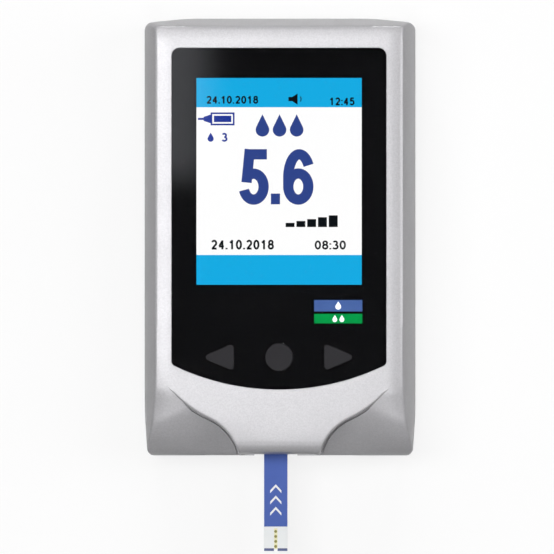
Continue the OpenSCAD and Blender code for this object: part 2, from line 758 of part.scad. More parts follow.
// Leaf that runs down from the board, forward over the strip and up again at its tip
contact_low = strip_z + strip_t + hair;
module strip_contacts() color("#d6b25a") for (x = contact_x) across_x(x - contact_w / 2, x + contact_w / 2)
    bent_leaf([[contact_root_y - 0.4, board_z], [contact_root_y - 0.4, contact_low + 2],
        [contact_tip_y + 1, contact_low + contact_t / 2], [contact_tip_y, contact_low + 1]], contact_t);

notch_r = 0.35;
module strip_outline(y0) difference() {
    translate([port_x - strip_w / 2, y0]) square([strip_w, strip_in_y - y0]);
    translate([port_x, strip_out_y]) circle(notch_r);
}
module strip_base() color(strip_blue) slab(strip_z, strip_z + strip_base_t) strip_outline(strip_out_y);
module strip_cover() color(white) slab(strip_z + strip_base_t, strip_z + strip_t) strip_outline(strip_out_y);

// Ejector

pad_groove_pitch = 1.8;
pad_groove_w = 0.8;
module ejector_button() color(key_grey) {
    difference() {
        translate([port_x, 0, 0]) slab(pad_z, pad_z + pad_t)
            rounded_box(pad_half_w, ejector_y - pad_l / 2, ejector_y + pad_l / 2, 1);
        for (n = [-1 : 1]) translate([port_x, ejector_y + pad_groove_pitch * n, 0])
            block(-pad_half_w + 1, pad_half_w - 1, -pad_groove_w / 2, pad_groove_w / 2, 0, pad_z + 0.3);
    }
    block(port_x - ejector_stem_half_w, port_x + ejector_stem_half_w, ejector_y - ejector_stem_l / 2,
        ejector_y + ejector_stem_l / 2, pad_z + pad_t, carriage_z);
}

module ejector_slider() color(white) {
    arm_y = socket_back + ejector_travel + 0.4;
    block(port_x - carriage_half, port_x + carriage_half, ejector_y - carriage_half, ejector_y + carriage_half,
        carriage_z, carriage_z + carriage_t);
    block(port_x - column_half_w, port_x + column_half_w, ejector_y - column_l / 2, ejector_y + column_l / 2,
        carriage_z, strip_z + strip_t);
    block(port_x - pusher_half_w, port_x + pusher_half_w, arm_y, ejector_y + column_l / 2,
        strip_z - 0.5, strip_z + strip_t);
    block(port_x - pusher_half_w, port_x + pusher_half_w, strip_in_y + hair, arm_y,
        strip_z, strip_z + strip_t);
}

front_cover();
rear_cover();
display_window();
window_mask();
screen_gasket();
lcd_glass();
lcd_backlight();
lcd_frame();
lcd_flex();
button_left();
button_ok();
button_right();
switch_stem_left();
switch_stem_ok();
switch_stem_right();
key_switches();
main_board();
board_components();
buzzer();
strip_connector();
strip_contacts();
strip_port_guide();
strip_base();
strip_cover();
ejector_button();
ejector_slider();
battery_door();
battery_left();
battery_right();
battery_springs();
battery_plates();
case_screws();
board_screws();
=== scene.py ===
# %% [markdown]
# # A blood glucose meter
# This notebook dresses the solids of a hand-held blood glucose meter that lies on its back: a silver
# painted case with a black window over a colour screen, three dark keys and a test strip in its lower
# end. The solids are exact but bare. Each cell below gives one of them its finish, or adds a piece
# that is too fine for them, such as the picture on the screen or the print on the strip.

# %% Load the solids
import math
import bmesh
import bpy
import numpy as np
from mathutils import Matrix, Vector


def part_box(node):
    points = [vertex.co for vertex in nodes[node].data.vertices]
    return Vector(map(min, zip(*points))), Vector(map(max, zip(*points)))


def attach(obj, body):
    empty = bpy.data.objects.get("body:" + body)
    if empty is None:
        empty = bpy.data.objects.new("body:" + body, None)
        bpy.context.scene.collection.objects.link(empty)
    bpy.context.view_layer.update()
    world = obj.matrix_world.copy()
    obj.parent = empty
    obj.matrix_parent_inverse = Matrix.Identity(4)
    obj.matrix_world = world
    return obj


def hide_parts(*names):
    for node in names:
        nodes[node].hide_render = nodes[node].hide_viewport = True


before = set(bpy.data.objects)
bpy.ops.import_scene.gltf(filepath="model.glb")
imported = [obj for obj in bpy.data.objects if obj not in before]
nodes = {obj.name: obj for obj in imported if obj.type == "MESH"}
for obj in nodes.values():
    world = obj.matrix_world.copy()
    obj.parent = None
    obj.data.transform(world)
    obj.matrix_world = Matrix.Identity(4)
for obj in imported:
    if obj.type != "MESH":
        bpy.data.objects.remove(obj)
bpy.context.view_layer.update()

MM = 0.001

# %% [markdown]
# ## Small helpers
# A material is a short chain of nodes, and one function makes a node with its settings, values and
# links. Colours are written as hex values, the way a paint chart gives them, and one function turns
# them into the linear values that light works in.


# %% Colours and nodes
def linear(hex_colour):
    """Turns a colour such as #c9c8cc into linear red, green, blue and an alpha of 1."""
    values = [int(hex_colour[i : i + 2], 16) / 255 for i in (1, 3, 5)]
    return tuple(v / 12.92 if v <= 0.04045 else ((v + 0.055) / 1.055) ** 2.4 for v in values) + (1.0,)


def add_node(tree, kind, settings=None, values=None, links=None):
    """Adds a node: settings are its properties, values its sockets, and links join sockets to outputs."""
    node = tree.nodes.new(kind)
    for name, value in (settings or {}).items():
        setattr(node, name, value)
    for name, value in (values or {}).items():
        node.inputs[name].default_value = value
    for name, source in (links or {}).items():
        tree.links.new(source, node.inputs[name])
    return node


def new_material(name, base, roughness, **more):
    """A material with one Principled shader. Returns the material, its tree and its shader."""
    made = bpy.data.materials.new(name)
    made.use_nodes = True
    tree = made.node_tree
    shader = tree.nodes["Principled BSDF"]
    shader.inputs["Base Color"].default_value = linear(base)
    shader.inputs["Roughness"].default_value = roughness
    for socket, value in more.items():
        shader.inputs[socket.replace("_", " ")].default_value = value
    return made, tree, shader


print("mid grey #808080 is", round(linear("#808080")[0], 3), "in linear light")

# %% [markdown]
# ## Camera
# The photograph looks straight down on the front, from about one degree to the right, so the right
# side wall shows a little wider than the left one. A long lens far away keeps the front face and the
# widest line of the case at nearly the same scale, as they are in the photograph.

# %% Camera
IMAGE_PX = 554
MM_PER_PX = 0.214
PARTING_Z = 11.5
CAMERA_DISTANCE = 3.0
SIDE_ANGLE = math.radians(1.12)
CASE_MIDDLE_PX = (280.0, 237.05)

aim = Vector(
    (
        (IMAGE_PX / 2 - CASE_MIDDLE_PX[0]) * MM_PER_PX * MM,
        (CASE_MIDDLE_PX[1] - IMAGE_PX / 2) * MM_PER_PX * MM,
        PARTING_Z * MM,
    )
)
camera_data = bpy.data.cameras.new("camera")
camera_data.sensor_width = 36
camera_data.lens = 36 * CAMERA_DISTANCE / (IMAGE_PX * MM_PER_PX * MM)
camera_data.clip_start = 0.01
camera = bpy.data.objects.new("camera", camera_data)
camera.location = aim + CAMERA_DISTANCE * Vector((math.sin(SIDE_ANGLE), 0, math.cos(SIDE_ANGLE)))
camera.rotation_euler = (0, SIDE_ANGLE, 0)
bpy.context.scene.collection.objects.link(camera)
bpy.context.scene.camera = camera
print("lens", round(camera_data.lens), "mm, aimed at", [round(v / MM, 2) for v in aim], "mm")

# %% [markdown]
# ## Studio
# The meter is lit as a product shot. A broad soft light high on the left is the main one, and a
# weaker one stands lower on the right. Past each end there is a high and a low light, which shape
# the rolled border and the tongue. All stand clear of the line straight up from the window, because
# the window is a mirror for whatever hangs there.


# %% Lamps and room
def area_light(name, place, target, size, power):
    data = bpy.data.lights.new(name, "AREA")
    data.shape = "RECTANGLE"
    data.size, data.size_y = size
    data.energy = power
    lamp = bpy.data.objects.new(name, data)
    lamp.location = place
    lamp.rotation_euler = (Vector(target) - Vector(place)).to_track_quat("-Z", "Y").to_euler()
    bpy.context.scene.collection.objects.link(lamp)


CASE_MIDDLE = (0, 0, 0.012)
area_light("left_softbox", (-0.50, 0.12, 1.5), CASE_MIDDLE, (0.5, 0.9), 9.6)
area_light("right_softbox", (0.75, 0.1, 0.8), CASE_MIDDLE, (0.5, 0.8), 3.6)
area_light("top_softbox", (0.0, 0.30, 1.6), CASE_MIDDLE, (0.5, 0.25), 2.1)
area_light("low_top_softbox", (0.0, 1.2, 0.5), CASE_MIDDLE, (0.8, 0.3), 7.4)
area_light("end_softbox", (0.0, -0.36, 1.6), CASE_MIDDLE, (0.4, 0.15), 2.4)
area_light("low_end_softbox", (0.0, -0.9, 1.2), CASE_MIDDLE, (0.6, 0.3), 1.4)

ROOM_LIGHT = 0.02
world = bpy.data.worlds.new("studio")
world.use_nodes = True
bpy.context.scene.world = world
room = world.node_tree
rays = add_node(room, "ShaderNodeLightPath")
shows = add_node(
    room,
    "ShaderNodeMath",
    {"operation": "MAXIMUM"},
    links={0: rays.outputs["Is Camera Ray"], 1: rays.outputs["Is Transmission Ray"]},
)
shows = add_node(
    room,
    "ShaderNodeMath",
    {"operation": "MAXIMUM"},
    links={0: shows.outputs[0], 1: rays.outputs["Is Glossy Ray"]},
)
strength = add_node(
    room,
    "ShaderNodeMapRange",
    values={"To Min": ROOM_LIGHT, "To Max": 1.0},
    links={"Value": shows.outputs[0]},
)
room.nodes["Background"].inputs["Color"].default_value = (1, 1, 1, 1)
room.links.new(strength.outputs["Result"], room.nodes["Background"].inputs["Strength"])
print("six lamps and a white room that lights at", ROOM_LIGHT)

# %% [markdown]
# ## Floor and cards
# The floor is a white sweep that keeps the soft shadow of the case. It is clear from below, so that
# the back can be looked at. A black card above the camera keeps the window black, and a small soft
# grey card beside it gives the pale sheen down the window's upper left side.


# %% Floor
def flat_card(name, left, bottom, right, top, z, finish):
    """A flat piece of the studio, in metres, that isn't part of the meter."""
    mesh = bpy.data.meshes.new(name)
    corners = [(left, bottom, z), (right, bottom, z), (right, top, z), (left, top, z)]
    mesh.from_pydata(corners, [], [(0, 1, 2, 3)])
    mesh.materials.append(finish)
    card = bpy.data.objects.new(name, mesh)
    bpy.context.scene.collection.objects.link(card)


sweep, tree, shader = new_material("white_sweep", "#ffffff", 1.0, Specular_IOR_Level=0.0)
rays = add_node(tree, "ShaderNodeLightPath")
bounce = add_node(
    tree,
    "ShaderNodeMixRGB",
    values={"Color1": (1, 1, 1, 1), "Color2": linear("#4a4a4a")},
    links={"Fac": rays.outputs["Is Diffuse Ray"]},
)
tree.links.new(bounce.outputs["Color"], shader.inputs["Base Color"])
glow = add_node(tree, "ShaderNodeEmission", values={"Color": (1, 1, 1, 1), "Strength": 1.0})
clear = add_node(tree, "ShaderNodeBsdfTransparent")
side = add_node(tree, "ShaderNodeNewGeometry")
seen = add_node(
    tree,
    "ShaderNodeMath",
    {"operation": "MAXIMUM"},
    links={0: rays.outputs["Is Camera Ray"], 1: rays.outputs["Is Transmission Ray"]},
)
lift = add_node(
    tree, "ShaderNodeMapRange", values={"To Min": 0.0, "To Max": 0.8}, links={"Value": seen.outputs[0]}
)
lit = add_node(
    tree,
    "ShaderNodeMixShader",
    links={0: lift.outputs["Result"], 1: shader.outputs["BSDF"], 2: glow.outputs["Emission"]},
)
one_sided = add_node(
    tree, "ShaderNodeMixShader", links={0: side.outputs["Backfacing"], 1: lit.outputs[0], 2: clear.outputs[0]}
)
tree.links.new(one_sided.outputs[0], tree.nodes["Material Output"].inputs["Surface"])
FLOOR_HALF = 3
flat_card("floor", -FLOOR_HALF, -FLOOR_HALF, FLOOR_HALF, FLOOR_HALF, 0, sweep)
print("floor", 2 * FLOOR_HALF, "m wide")

# %% Cards
CARD_Z = CAMERA_DISTANCE + 0.12
velvet, tree, shader = new_material("black_velvet", "#050505", 1.0, Specular_IOR_Level=0.0)
flat_card("black_card", -0.20, -0.15, 0.08, 0.15, CARD_Z, velvet)

grey_card, tree, shader = new_material("grey_card", "#000000", 1.0, Specular_IOR_Level=0.0)
place = add_node(tree, "ShaderNodeTexCoord").outputs["Object"]
axes = add_node(tree, "ShaderNodeSeparateXYZ", links={"Vector": place})
fades = [
    add_node(
        tree,
        "ShaderNodeMapRange",
        {"interpolation_type": "SMOOTHSTEP"},
        {"From Min": clear_at, "From Max": full_at},
        {"Value": axes.outputs[axis]},
    )
    for axis, clear_at, full_at in (("X", -0.081, -0.103), ("Y", 0.0256, 0.0453))
]
fade = add_node(
    tree,
    "ShaderNodeMath",
    {"operation": "MULTIPLY"},
    links={i: node.outputs["Result"] for i, node in enumerate(fades)},
)
level = add_node(
    tree, "ShaderNodeMapRange", values={"To Min": 0.0, "To Max": 0.75}, links={"Value": fade.outputs[0]}
)
sheen = add_node(
    tree,
    "ShaderNodeEmission",
    values={"Color": linear("#f6f8ff")},
    links={"Strength": level.outputs["Result"]},
)
tree.links.new(sheen.outputs[0], tree.nodes["Material Output"].inputs["Surface"])
flat_card("sheen_card", -0.148, 0.015, -0.069, 0.13, CARD_Z - 0.01, grey_card)
print("two cards at", CARD_Z, "m")

# %% [markdown]
# ## Silver paint
# The case is moulded ABS with a sprayed silver paint. Aluminium flakes lie in it at slightly
# different angles, so it glitters in fine grains, and it darkens as a surface turns away from the
# light. Real flakes are some hundredths of a millimetre, far below a pixel, so here they are drawn
# 0.22 mm across. The paint is part metal flake and part pigment, which is why it stays light when it
# is seen from the side.

# %% Silver paint
FLAKE_MM, CLOUD_MM = 0.22, 6


def relief(tree, shader, place, size_mm, detail, strength, depth_mm):
    """Gives a surface fine bumps, from a noise of one size."""
    noise = add_node(
        tree,
        "ShaderNodeTexNoise",
        values={"Scale": 1 / (size_mm * MM), "Detail": detail},
        links={"Vector": place},
    )
    bump = add_node(
        tree,
        "ShaderNodeBump",
        values={"Strength": strength, "Distance": depth_mm * MM},
        links={"Height": noise.outputs["Fac"]},
    )
    tree.links.new(bump.outputs["Normal"], shader.inputs["Normal"])


def flake_paint(name, bright, dark, roughness, metal):
    made, tree, shader = new_material(name, bright, roughness, Metallic=metal)
    place = add_node(tree, "ShaderNodeTexCoord").outputs["Object"]
    flakes = add_node(
        tree, "ShaderNodeTexVoronoi", values={"Scale": 1 / (FLAKE_MM * MM)}, links={"Vector": place}
    )
    grey = add_node(tree, "ShaderNodeSeparateColor", links={"Color": flakes.outputs["Color"]})
    shade = add_node(
        tree,
        "ShaderNodeMixRGB",
        values={"Color1": linear(dark), "Color2": linear(bright)},
        links={"Fac": grey.outputs["Red"]},
    )
    tree.links.new(shade.outputs["Color"], shader.inputs["Base Color"])
    clouds = add_node(
        tree,
        "ShaderNodeTexNoise",
        values={"Scale": 1 / (CLOUD_MM * MM), "Detail": 3.0},
        links={"Vector": place},
    )
    rough = add_node(
        tree,
        "ShaderNodeMapRange",
        values={"To Min": roughness - 0.05, "To Max": roughness + 0.05},
        links={"Value": clouds.outputs["Fac"]},
    )
    tree.links.new(rough.outputs["Result"], shader.inputs["Roughness"])
    # The faint orange peel that every sprayed coat has
    relief(tree, shader, place, size_mm=0.35, detail=2.0, strength=0.35, depth_mm=0.006)
    return made


silver_paint = flake_paint("silver_paint", "#adacaf", "#a3a2a5", 0.33, 0.3)


def paint(names, finish):
    """Gives solids of the meter a finish."""
    for name in names:
        nodes[name].data.materials.clear()
        nodes[name].data.materials.append(finish)


def add_piece(piece, body, finish):
    """Adds a new piece with its finish, on the body that it moves with."""
    piece.data.materials.clear()
    piece.data.materials.append(finish)
    bpy.context.scene.collection.objects.link(piece)
    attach(piece, body)


paint(["front_cover", "rear_cover", "battery_door"], silver_paint)
print("silver on the two covers and the battery door")

# %% [markdown]
# ## Form of the front cover
# The real front cover is a soft moulded form: the silver border falls away from the window, its edges
# are rolled, and the tongue at the strip end stands on two sloping shoulders with a crease between.
# The solid has these forms with plain radii. Here the same form is written as distances to its faces,
# and the larger of two distances, blended over a width, gives an edge that rolls. All the sizes are
# in millimetres.


# %% Distances and blends
cover_low, cover_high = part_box("front_cover")
lens_low, lens_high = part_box("display_window")
half_w, case_end, case_top = (round(v / MM * 4) / 4 for v in (cover_high[0], cover_low[1], cover_high[1]))
parting_z, face_z = cover_low[2] / MM, cover_high[2] / MM
lens_half, lens_top, lens_end = lens_high[0] / MM, lens_high[1] / MM, lens_low[1] / MM


def outside(u, v, start, end):
    """How far points lie to the right of the line from start to end."""
    du, dv = end[0] - start[0], end[1] - start[1]
    return ((u - start[0]) * dv - (v - start[1]) * du) / math.hypot(du, dv)


def rolled(a, b, width):
    """The larger of two distances, with the edge between them rolled over a width."""
    near = np.maximum(width - np.abs(a - b), 0) / width
    return np.maximum(a, b) + near * near * width / 4


def soft_step(share):
    """Goes from 0 to 1 as a share does, with a soft start and a soft end."""
    share = np.clip(share, 0, 1)
    return share**2 * (3 - 2 * share)


print("case", 2 * half_w, "by", case_top - case_end, "mm, window", round(2 * lens_half, 2), "mm wide")

# %% [markdown]
# ## Faces of the case
# Each wall leans in a little from the parting line up, as a moulded wall must to leave its mould. The
# side walls have a knee, are widest in the middle of the case and are drawn in at the strip end.


# %% Faces of the case
LENS_ARC = 51.7
FACE_GAP, SIDE_FALL, TOP_FALL, END_FALL = 0.01, 0.024, 0.018, 0.0065
SIDE_KNEE = (0.95, 7.0)
SIDE_LEAN, TOP_LEAN, END_LEAN = 2.7, 1.85, 0.7
TOP_CROWN, CROWN_HALF = 0.95, 20.0
FOOT_NARROW, FOOT_LONG = 0.65, 9.0
KNEE_ROLL, FOOT_ROLL, CROWN_ROLL = 0.8, 0.5, 0.4


def face_distance(x, y, z):
    """The face is level at the window and falls away from it, most at the sides, least on the tongue."""
    side = np.maximum(np.abs(x) - lens_half, 0)
    top = np.maximum(y - lens_top, 0)
    end = np.maximum(np.hypot(x, y - lens_end - LENS_ARC) - LENS_ARC, 0) * (y < 0)
    return z - face_z + FACE_GAP + SIDE_FALL * side**2 + TOP_FALL * top**2 + END_FALL * end**2


def side_distance(x, y, z):
    ax = np.abs(x)
    knee = (half_w - SIDE_KNEE[0], parting_z + SIDE_KNEE[1])
    low_wall = outside(ax, z, (half_w, parting_z), knee)
    high_wall = outside(ax, z, knee, (half_w - SIDE_LEAN, face_z))
    drawn_in = outside(ax, y, (half_w - FOOT_NARROW, case_end), (half_w, case_end + FOOT_LONG))
    return rolled(rolled(low_wall, high_wall, KNEE_ROLL), drawn_in, FOOT_ROLL)


def top_distance(x, y, z):
    lean = outside(y, z, (case_top, parting_z), (case_top - TOP_LEAN, face_z))
    crown = outside(np.abs(x), y, (half_w, case_top - TOP_CROWN), (CROWN_HALF, case_top))
    return rolled(lean, crown, CROWN_ROLL)


def end_distance(x, y, z):
    return outside(-y, z, (-case_end, parting_z), (-case_end - END_LEAN, face_z))


print("side walls lean in", SIDE_LEAN, "mm, top", TOP_LEAN, "mm, strip end", END_LEAN, "mm")

# %% [markdown]
# ## Shoulders and crease
# The shoulders start as one long arc and get steeper towards the strip end. On the real cover they
# are fuller towards the sides than the solid's are. The crease that parts them from the tongue is
# two arcs that meet where both point the same way.


# %% Shoulders
# Where the solid's shoulders start and steepen, their falls in degrees, and their bend's radius
SHOULDER_LONG, KNEE_LONG = 15.2, 6.3
GENTLE_FALL, STEEP_FALL, BEND_RADIUS = 38, 49, 8
SLOPE, END_SLOPE = math.tan(math.radians(GENTLE_FALL)), math.tan(math.radians(STEEP_FALL))
BEND_Y = case_end + SHOULDER_LONG - BEND_RADIUS * math.tan(math.radians(GENTLE_FALL / 2))
KNEE_Y = case_end + KNEE_LONG
SLOPE_ROLL, SLOPE_KNEE_ROLL = 3.4, 0.8
SHOULDER_TOP, SHOULDER_ARC, SHOULDER_LIFT = case_end + 14.6, 15.6, 1.0
LIFT_START, LIFT_WIDE = 11, 15
END_LIFT, END_LIFT_LONG = 0.8, 6.3


def plain_shoulder(y):
    """Height of the solid's shoulders, which slope at 38 degrees, and at 49 degrees past their knee."""
    gentle = (BEND_Y - y) * SLOPE
    steep = (BEND_Y - KNEE_Y) * SLOPE + (KNEE_Y - y) * END_SLOPE
    return face_z - rolled(rolled(gentle, steep, SLOPE_KNEE_ROLL), np.zeros_like(y), SLOPE_ROLL)


def shoulder_height(x, y):
    """Height of the real cover's shoulders, one long arc at the sides."""
    along = np.clip(SHOULDER_TOP - y, 0, 0.98 * SHOULDER_ARC)
    full = face_z - SHOULDER_ARC + np.sqrt(SHOULDER_ARC**2 - along**2)
    lift = SHOULDER_LIFT * soft_step((np.abs(x) - LIFT_START) / LIFT_WIDE)
    at_end = np.clip((case_end + END_LIFT_LONG - y) / END_LIFT_LONG, 0, 1)
    low = plain_shoulder(y) + END_LIFT * at_end**1.5
    return low + lift * np.maximum(full - low, 0)


print("the shoulders bend at y", round(BEND_Y, 2), "and", round(KNEE_Y, 2), "mm")

# %% Crease
UPPER_ARC, LOWER_ARC = 25.0, 11.5
CREASE_X, CREASE_Y = 0.424, -0.9057
upper_at = (4.4, case_end + 30.65)
bend_at = (upper_at[0] + UPPER_ARC * CREASE_X, upper_at[1] + UPPER_ARC * CREASE_Y)
lower_at = (bend_at[0] + LOWER_ARC * CREASE_X, bend_at[1] + LOWER_ARC * CREASE_Y)
side_y = upper_at[1] - math.sqrt(UPPER_ARC**2 - (half_w - upper_at[0]) ** 2)
foot_x = lower_at[0] - math.sqrt(LOWER_ARC**2 - (case_end - lower_at[1]) ** 2)


def crease_distance(x, y):
    """How far points lie beyond the crease, on the side of the shoulders."""
    ax = np.abs(x)
    below = np.hypot(ax - upper_at[0], y - upper_at[1])
    upper = np.where(y < upper_at[1], below, ax - upper_at[0]) - UPPER_ARC
    lower = LOWER_ARC - np.hypot(ax - lower_at[0], y - lower_at[1])
    beyond_bend = (bend_at[0] - ax) * CREASE_Y + (y - bend_at[1]) * CREASE_X > 0
    return np.where(beyond_bend, upper, lower)


def arc_between(centre, radius, start, end, count):
    """Points of an arc round a centre, from the direction of one point to that of another."""
    turns = [math.atan2(p[1] - centre[1], p[0] - centre[0]) for p in (start, end)]
    turns = np.linspace(*turns, count)
    return np.stack([centre[0] + radius * np.cos(turns), centre[1] + radius * np.sin(turns)], axis=-1)


upper_line = arc_between(upper_at, UPPER_ARC, (half_w, side_y), bend_at, 130)
lower_line = arc_between(lower_at, LOWER_ARC, bend_at, (foot_x, case_end), 60)
print("the crease bends at", [round(v, 2) for v in bend_at], "mm")

# %% [markdown]
# ## Two forms: the shoulders, and the face with its tongue
# A point is inside a form where the form's distance is below zero. The tongue's end leans and blends
# into its face over nearly 3 mm, while its foot stays sharp where it stands on the shoulders.


# %% Two forms
EDGE_ROLL, CORNER_ROLL, END_ROLL, TONGUE_ROLL, CREASE_ROLL = 0.4, 0.9, 0.7, 2.7, 0.5
SHOULDER_GAP = 0.015
TONGUE_FOOT, TONGUE_FOOT_ROLL = (0.5, 4.0), 0.3
SIDE_SINK, SINK_START, SINK_WIDE, SINK_Y, SINK_LONG = 0.04, 25.4, 0.8, -18.7, 1.5


def shoulder_form(x, y, z):
    drop = face_z - shoulder_height(x, y)
    skin = 0.8 * (z - face_z + drop + face_distance(x, y, face_z) / (1 + drop**2))
    walls = rolled(skin, side_distance(x, y, z), EDGE_ROLL)
    return rolled(walls, end_distance(x, y, z), END_ROLL) + SHOULDER_GAP


def tongue_end(y, z):
    """The tongue's end wall, which leans in over its foot and stands straight above it."""
    foot_top = (-case_end - TONGUE_FOOT[0], parting_z + TONGUE_FOOT[1])
    leaning = outside(-y, z, (-case_end, parting_z), foot_top)
    return -rolled(-leaning, y - case_end - TONGUE_FOOT[0], TONGUE_FOOT_ROLL)


def tongue_form(x, y, z):
    walls = rolled(side_distance(x, y, z), top_distance(x, y, z), CORNER_ROLL)
    form = rolled(face_distance(x, y, z), walls, EDGE_ROLL)
    form = rolled(form, tongue_end(y, z), TONGUE_ROLL)
    # On the side wall the shoulders take over before the crease reaches it, so that no line shows there
    at_side = np.clip((np.abs(x) - SINK_START) / SINK_WIDE, 0, 1) * np.clip((SINK_Y - y) / SINK_LONG, 0, 1)
    form = form + SIDE_SINK * soft_step(at_side)
    wall = face_z - shoulder_height(x, y)
    return rolled(form, crease_distance(x, y), np.clip(4 * wall, 0.03, CREASE_ROLL))


HALVINGS = 26


def height(form, x, y):
    """Where the form's surface is above each point, found by halving."""
    low, high = np.full(x.shape, 5.0), np.full(x.shape, face_z + 0.5)
    for _ in range(HALVINGS):
        middle = (low + high) / 2
        inside = form(x, y, middle) < 0
        low, high = np.where(inside, middle, low), np.where(inside, high, middle)
    return low


middle_line = np.array([[0.0, 0.0], [-40.0, -46.0]])
print("tongue heights", np.round(height(tongue_form, middle_line[0], middle_line[1]), 2), "mm")

# %% [markdown]
# ## Grids of the two forms
# Each form becomes a closed solid with its surface on a grid of points, close together where an edge
# rolls. The grid of the face follows its own outline, so that no edge is jagged.


# %% Closed solids
def closed_solid(name, shape):
    """Turns a shape of vertices and faces into an object whose faces point outwards."""
    bmesh.ops.recalc_face_normals(shape, faces=shape.faces)
    mesh = bpy.data.meshes.new(name)
    shape.to_mesh(mesh)
    shape.free()
    return bpy.data.objects.new(name, mesh)


def solid_from(name, points_mm, faces):
    """A closed solid from points in millimetres and faces of four points each."""
    rough = bpy.data.meshes.new(name)
    rough.from_pydata((points_mm * MM).tolist(), [], np.asarray(faces).tolist())
    shape = bmesh.new()
    shape.from_mesh(rough)
    bpy.data.meshes.remove(rough)
    return closed_solid(name, shape)


FORM_FOOT = 4.0


def form_solid(name, x, y, z, ring=False, foot_z=None):
    """A closed solid under a grid of heights. A ring closes on itself."""
    foot_z = np.full(x.shape, FORM_FOOT) if foot_z is None else foot_z
    surface, foot = (np.stack([x, y, level], axis=-1).reshape(-1, 3) for level in (z, foot_z))
    ids = np.arange(x.size).reshape(x.shape)
    if ring:
        ids = np.concatenate([ids, ids[:, :1]], axis=1)
    quads = np.stack([ids[:-1, :-1], ids[:-1, 1:], ids[1:, 1:], ids[1:, :-1]], axis=-1).reshape(-1, 4)
    faces = [quads, quads[:, ::-1] + x.size]
    for edge in [ids[0, ::-1], ids[-1]] + ([] if ring else [ids[:, 0], ids[::-1, -1]]):
        faces.append(np.stack([edge[:-1], edge[:-1] + x.size, edge[1:] + x.size, edge[1:]], axis=-1))
    return solid_from(name, np.concatenate([surface, foot]), np.concatenate(faces))


print("a form's solid goes down to", FORM_FOOT, "mm")

# %% Grid of the shoulders
FINE_START, WALL_START = 24, 26.2
SHOULDER_LAST = -18
CORNER, CORNER_LONG = 1.6, 8
wall_steps = WALL_START + (half_w - WALL_START) * (1 - (1 - np.linspace(0, 1, 30)) ** 1.6)
flat_steps = [np.linspace(0, FINE_START, 121)[:-1], np.linspace(FINE_START, WALL_START, 23)[:-1]]
columns = np.concatenate([*flat_steps, wall_steps])
columns = np.concatenate([-columns[:0:-1], columns]) / half_w
lines = [case_end + np.array([0, 0.03, 0.08, 0.15, 0.25, 0.4])]
lines += [np.arange(case_end + 0.6, case_end + 17, 0.22), np.linspace(case_end + 17.4, SHOULDER_LAST, 14)]
y, x = np.meshgrid(np.concatenate(lines), columns, indexing="ij")
reach = half_w - FOOT_NARROW * np.clip(1 - (y - case_end) / FOOT_LONG, 0, 1) - SHOULDER_GAP
x = x * reach
into_corner = np.clip((np.abs(x) - reach + CORNER) / CORNER, 0, 1)
y = y + CORNER * (1 - np.sqrt(1 - into_corner**2)) * np.clip(1 - (y - case_end) / CORNER_LONG, 0, 1)
shoulders = form_solid("shoulder_form", x, y, height(shoulder_form, x, y))
print("shoulders:", len(shoulders.data.vertices), "points")

# %% Grid of the face
# Each leg of the outline is matched with a leg of a smaller loop inside the window
corner_y = case_top - 2.85
round_corner = arc_between(
    (half_w - 2, corner_y), 2, (half_w - 1.8, corner_y + 2), (half_w, corner_y), 14
)
legs = [
    (np.linspace((0, case_top), (20, case_top), 40), (0, 34), (12, 34)),
    (np.linspace((20, case_top), (27, case_top - 0.74), 20), (12, 34), (16, 34)),
    (round_corner, (16, 34), (17, 33)),
    (np.linspace((half_w, corner_y), (half_w, side_y), 84), (17, 33), (17, -19.5)),
    (upper_line, (17, -19.5), (11, -26.5)),
    (lower_line, (11, -26.5), (5, -27)),
    (np.linspace((foot_x, case_end + 0.03), (0, case_end + 0.03), 40), (5, -27), (0, -27)),
]
outer = np.concatenate([points[:-1] for points, start, end in legs] + [legs[-1][0][-1:]])
inner = [np.linspace(start, end, len(points))[:-1] for points, start, end in legs]
inner = np.concatenate(inner + [[(0, -27)]])
outer, inner = (np.concatenate([loop, loop[-2:0:-1] * [-1, 1]]) for loop in (outer, inner))
# How far in from the outline each ring of points lies, in millimetres where the loops are 13 mm apart
rings = np.array(
    [0, 0.03, 0.07, 0.12, 0.18, 0.25, 0.33, 0.42, 0.52, 0.63]
    + [0.75, 0.88, 1, 1.15, 1.3, 1.5, 1.7, 1.95, 2.2, 2.5]
    + [2.8, 3.1, 3.5, 3.9, 4.4, 5, 5.7, 6.5, 7.5, 9, 11, 13]
)
spots = outer + (inner - outer) * rings[:, None, None] / rings[-1]
x, y = spots[..., 0], spots[..., 1]
face = form_solid("tongue_form", x, y, height(tongue_form, x, y), ring=True)
print("face:", len(face.data.vertices), "points")

# %% [markdown]
# ## Pads and slots
# The shoulders stand out past the solid, so two closed pads under them fill the solid out before it
# is cut to the form. A narrow dark line runs down the foot of the tongue's wall on the real cover.
# It is a slot, which starts where the wall does and grows with it.

# %% Pads that fill the shoulders out
PAD_DEEP, PAD_PAST, PAD_OUT, PAD_LONG, PAD_STEP = 0.9, 0.4, 0.5, 17.5, 0.5
pad_y = np.arange(case_end - PAD_OUT, case_end + PAD_LONG, PAD_STEP)
pad_x0, pad_x1 = np.zeros_like(pad_y), np.full_like(pad_y, half_w)
for _ in range(HALVINGS):
    middle = (pad_x0 + pad_x1) / 2
    in_tongue = crease_distance(middle, np.maximum(pad_y, case_end)) < -PAD_DEEP
    pad_x0, pad_x1 = np.where(in_tongue, middle, pad_x0), np.where(in_tongue, pad_x1, middle)
across = np.linspace(0, 1, 30)
x = pad_x0[:, None] + (half_w + PAD_OUT - pad_x0[:, None]) * across
y = np.repeat(pad_y[:, None], len(across), axis=1)
foot_z = np.maximum(plain_shoulder(y) - PAD_DEEP, parting_z)
pad_z = np.maximum(shoulder_height(x, y) + PAD_PAST, foot_z + 0.2)
pads = [form_solid("pad", side * x, y, pad_z, foot_z=foot_z) for side in (-1, 1)]
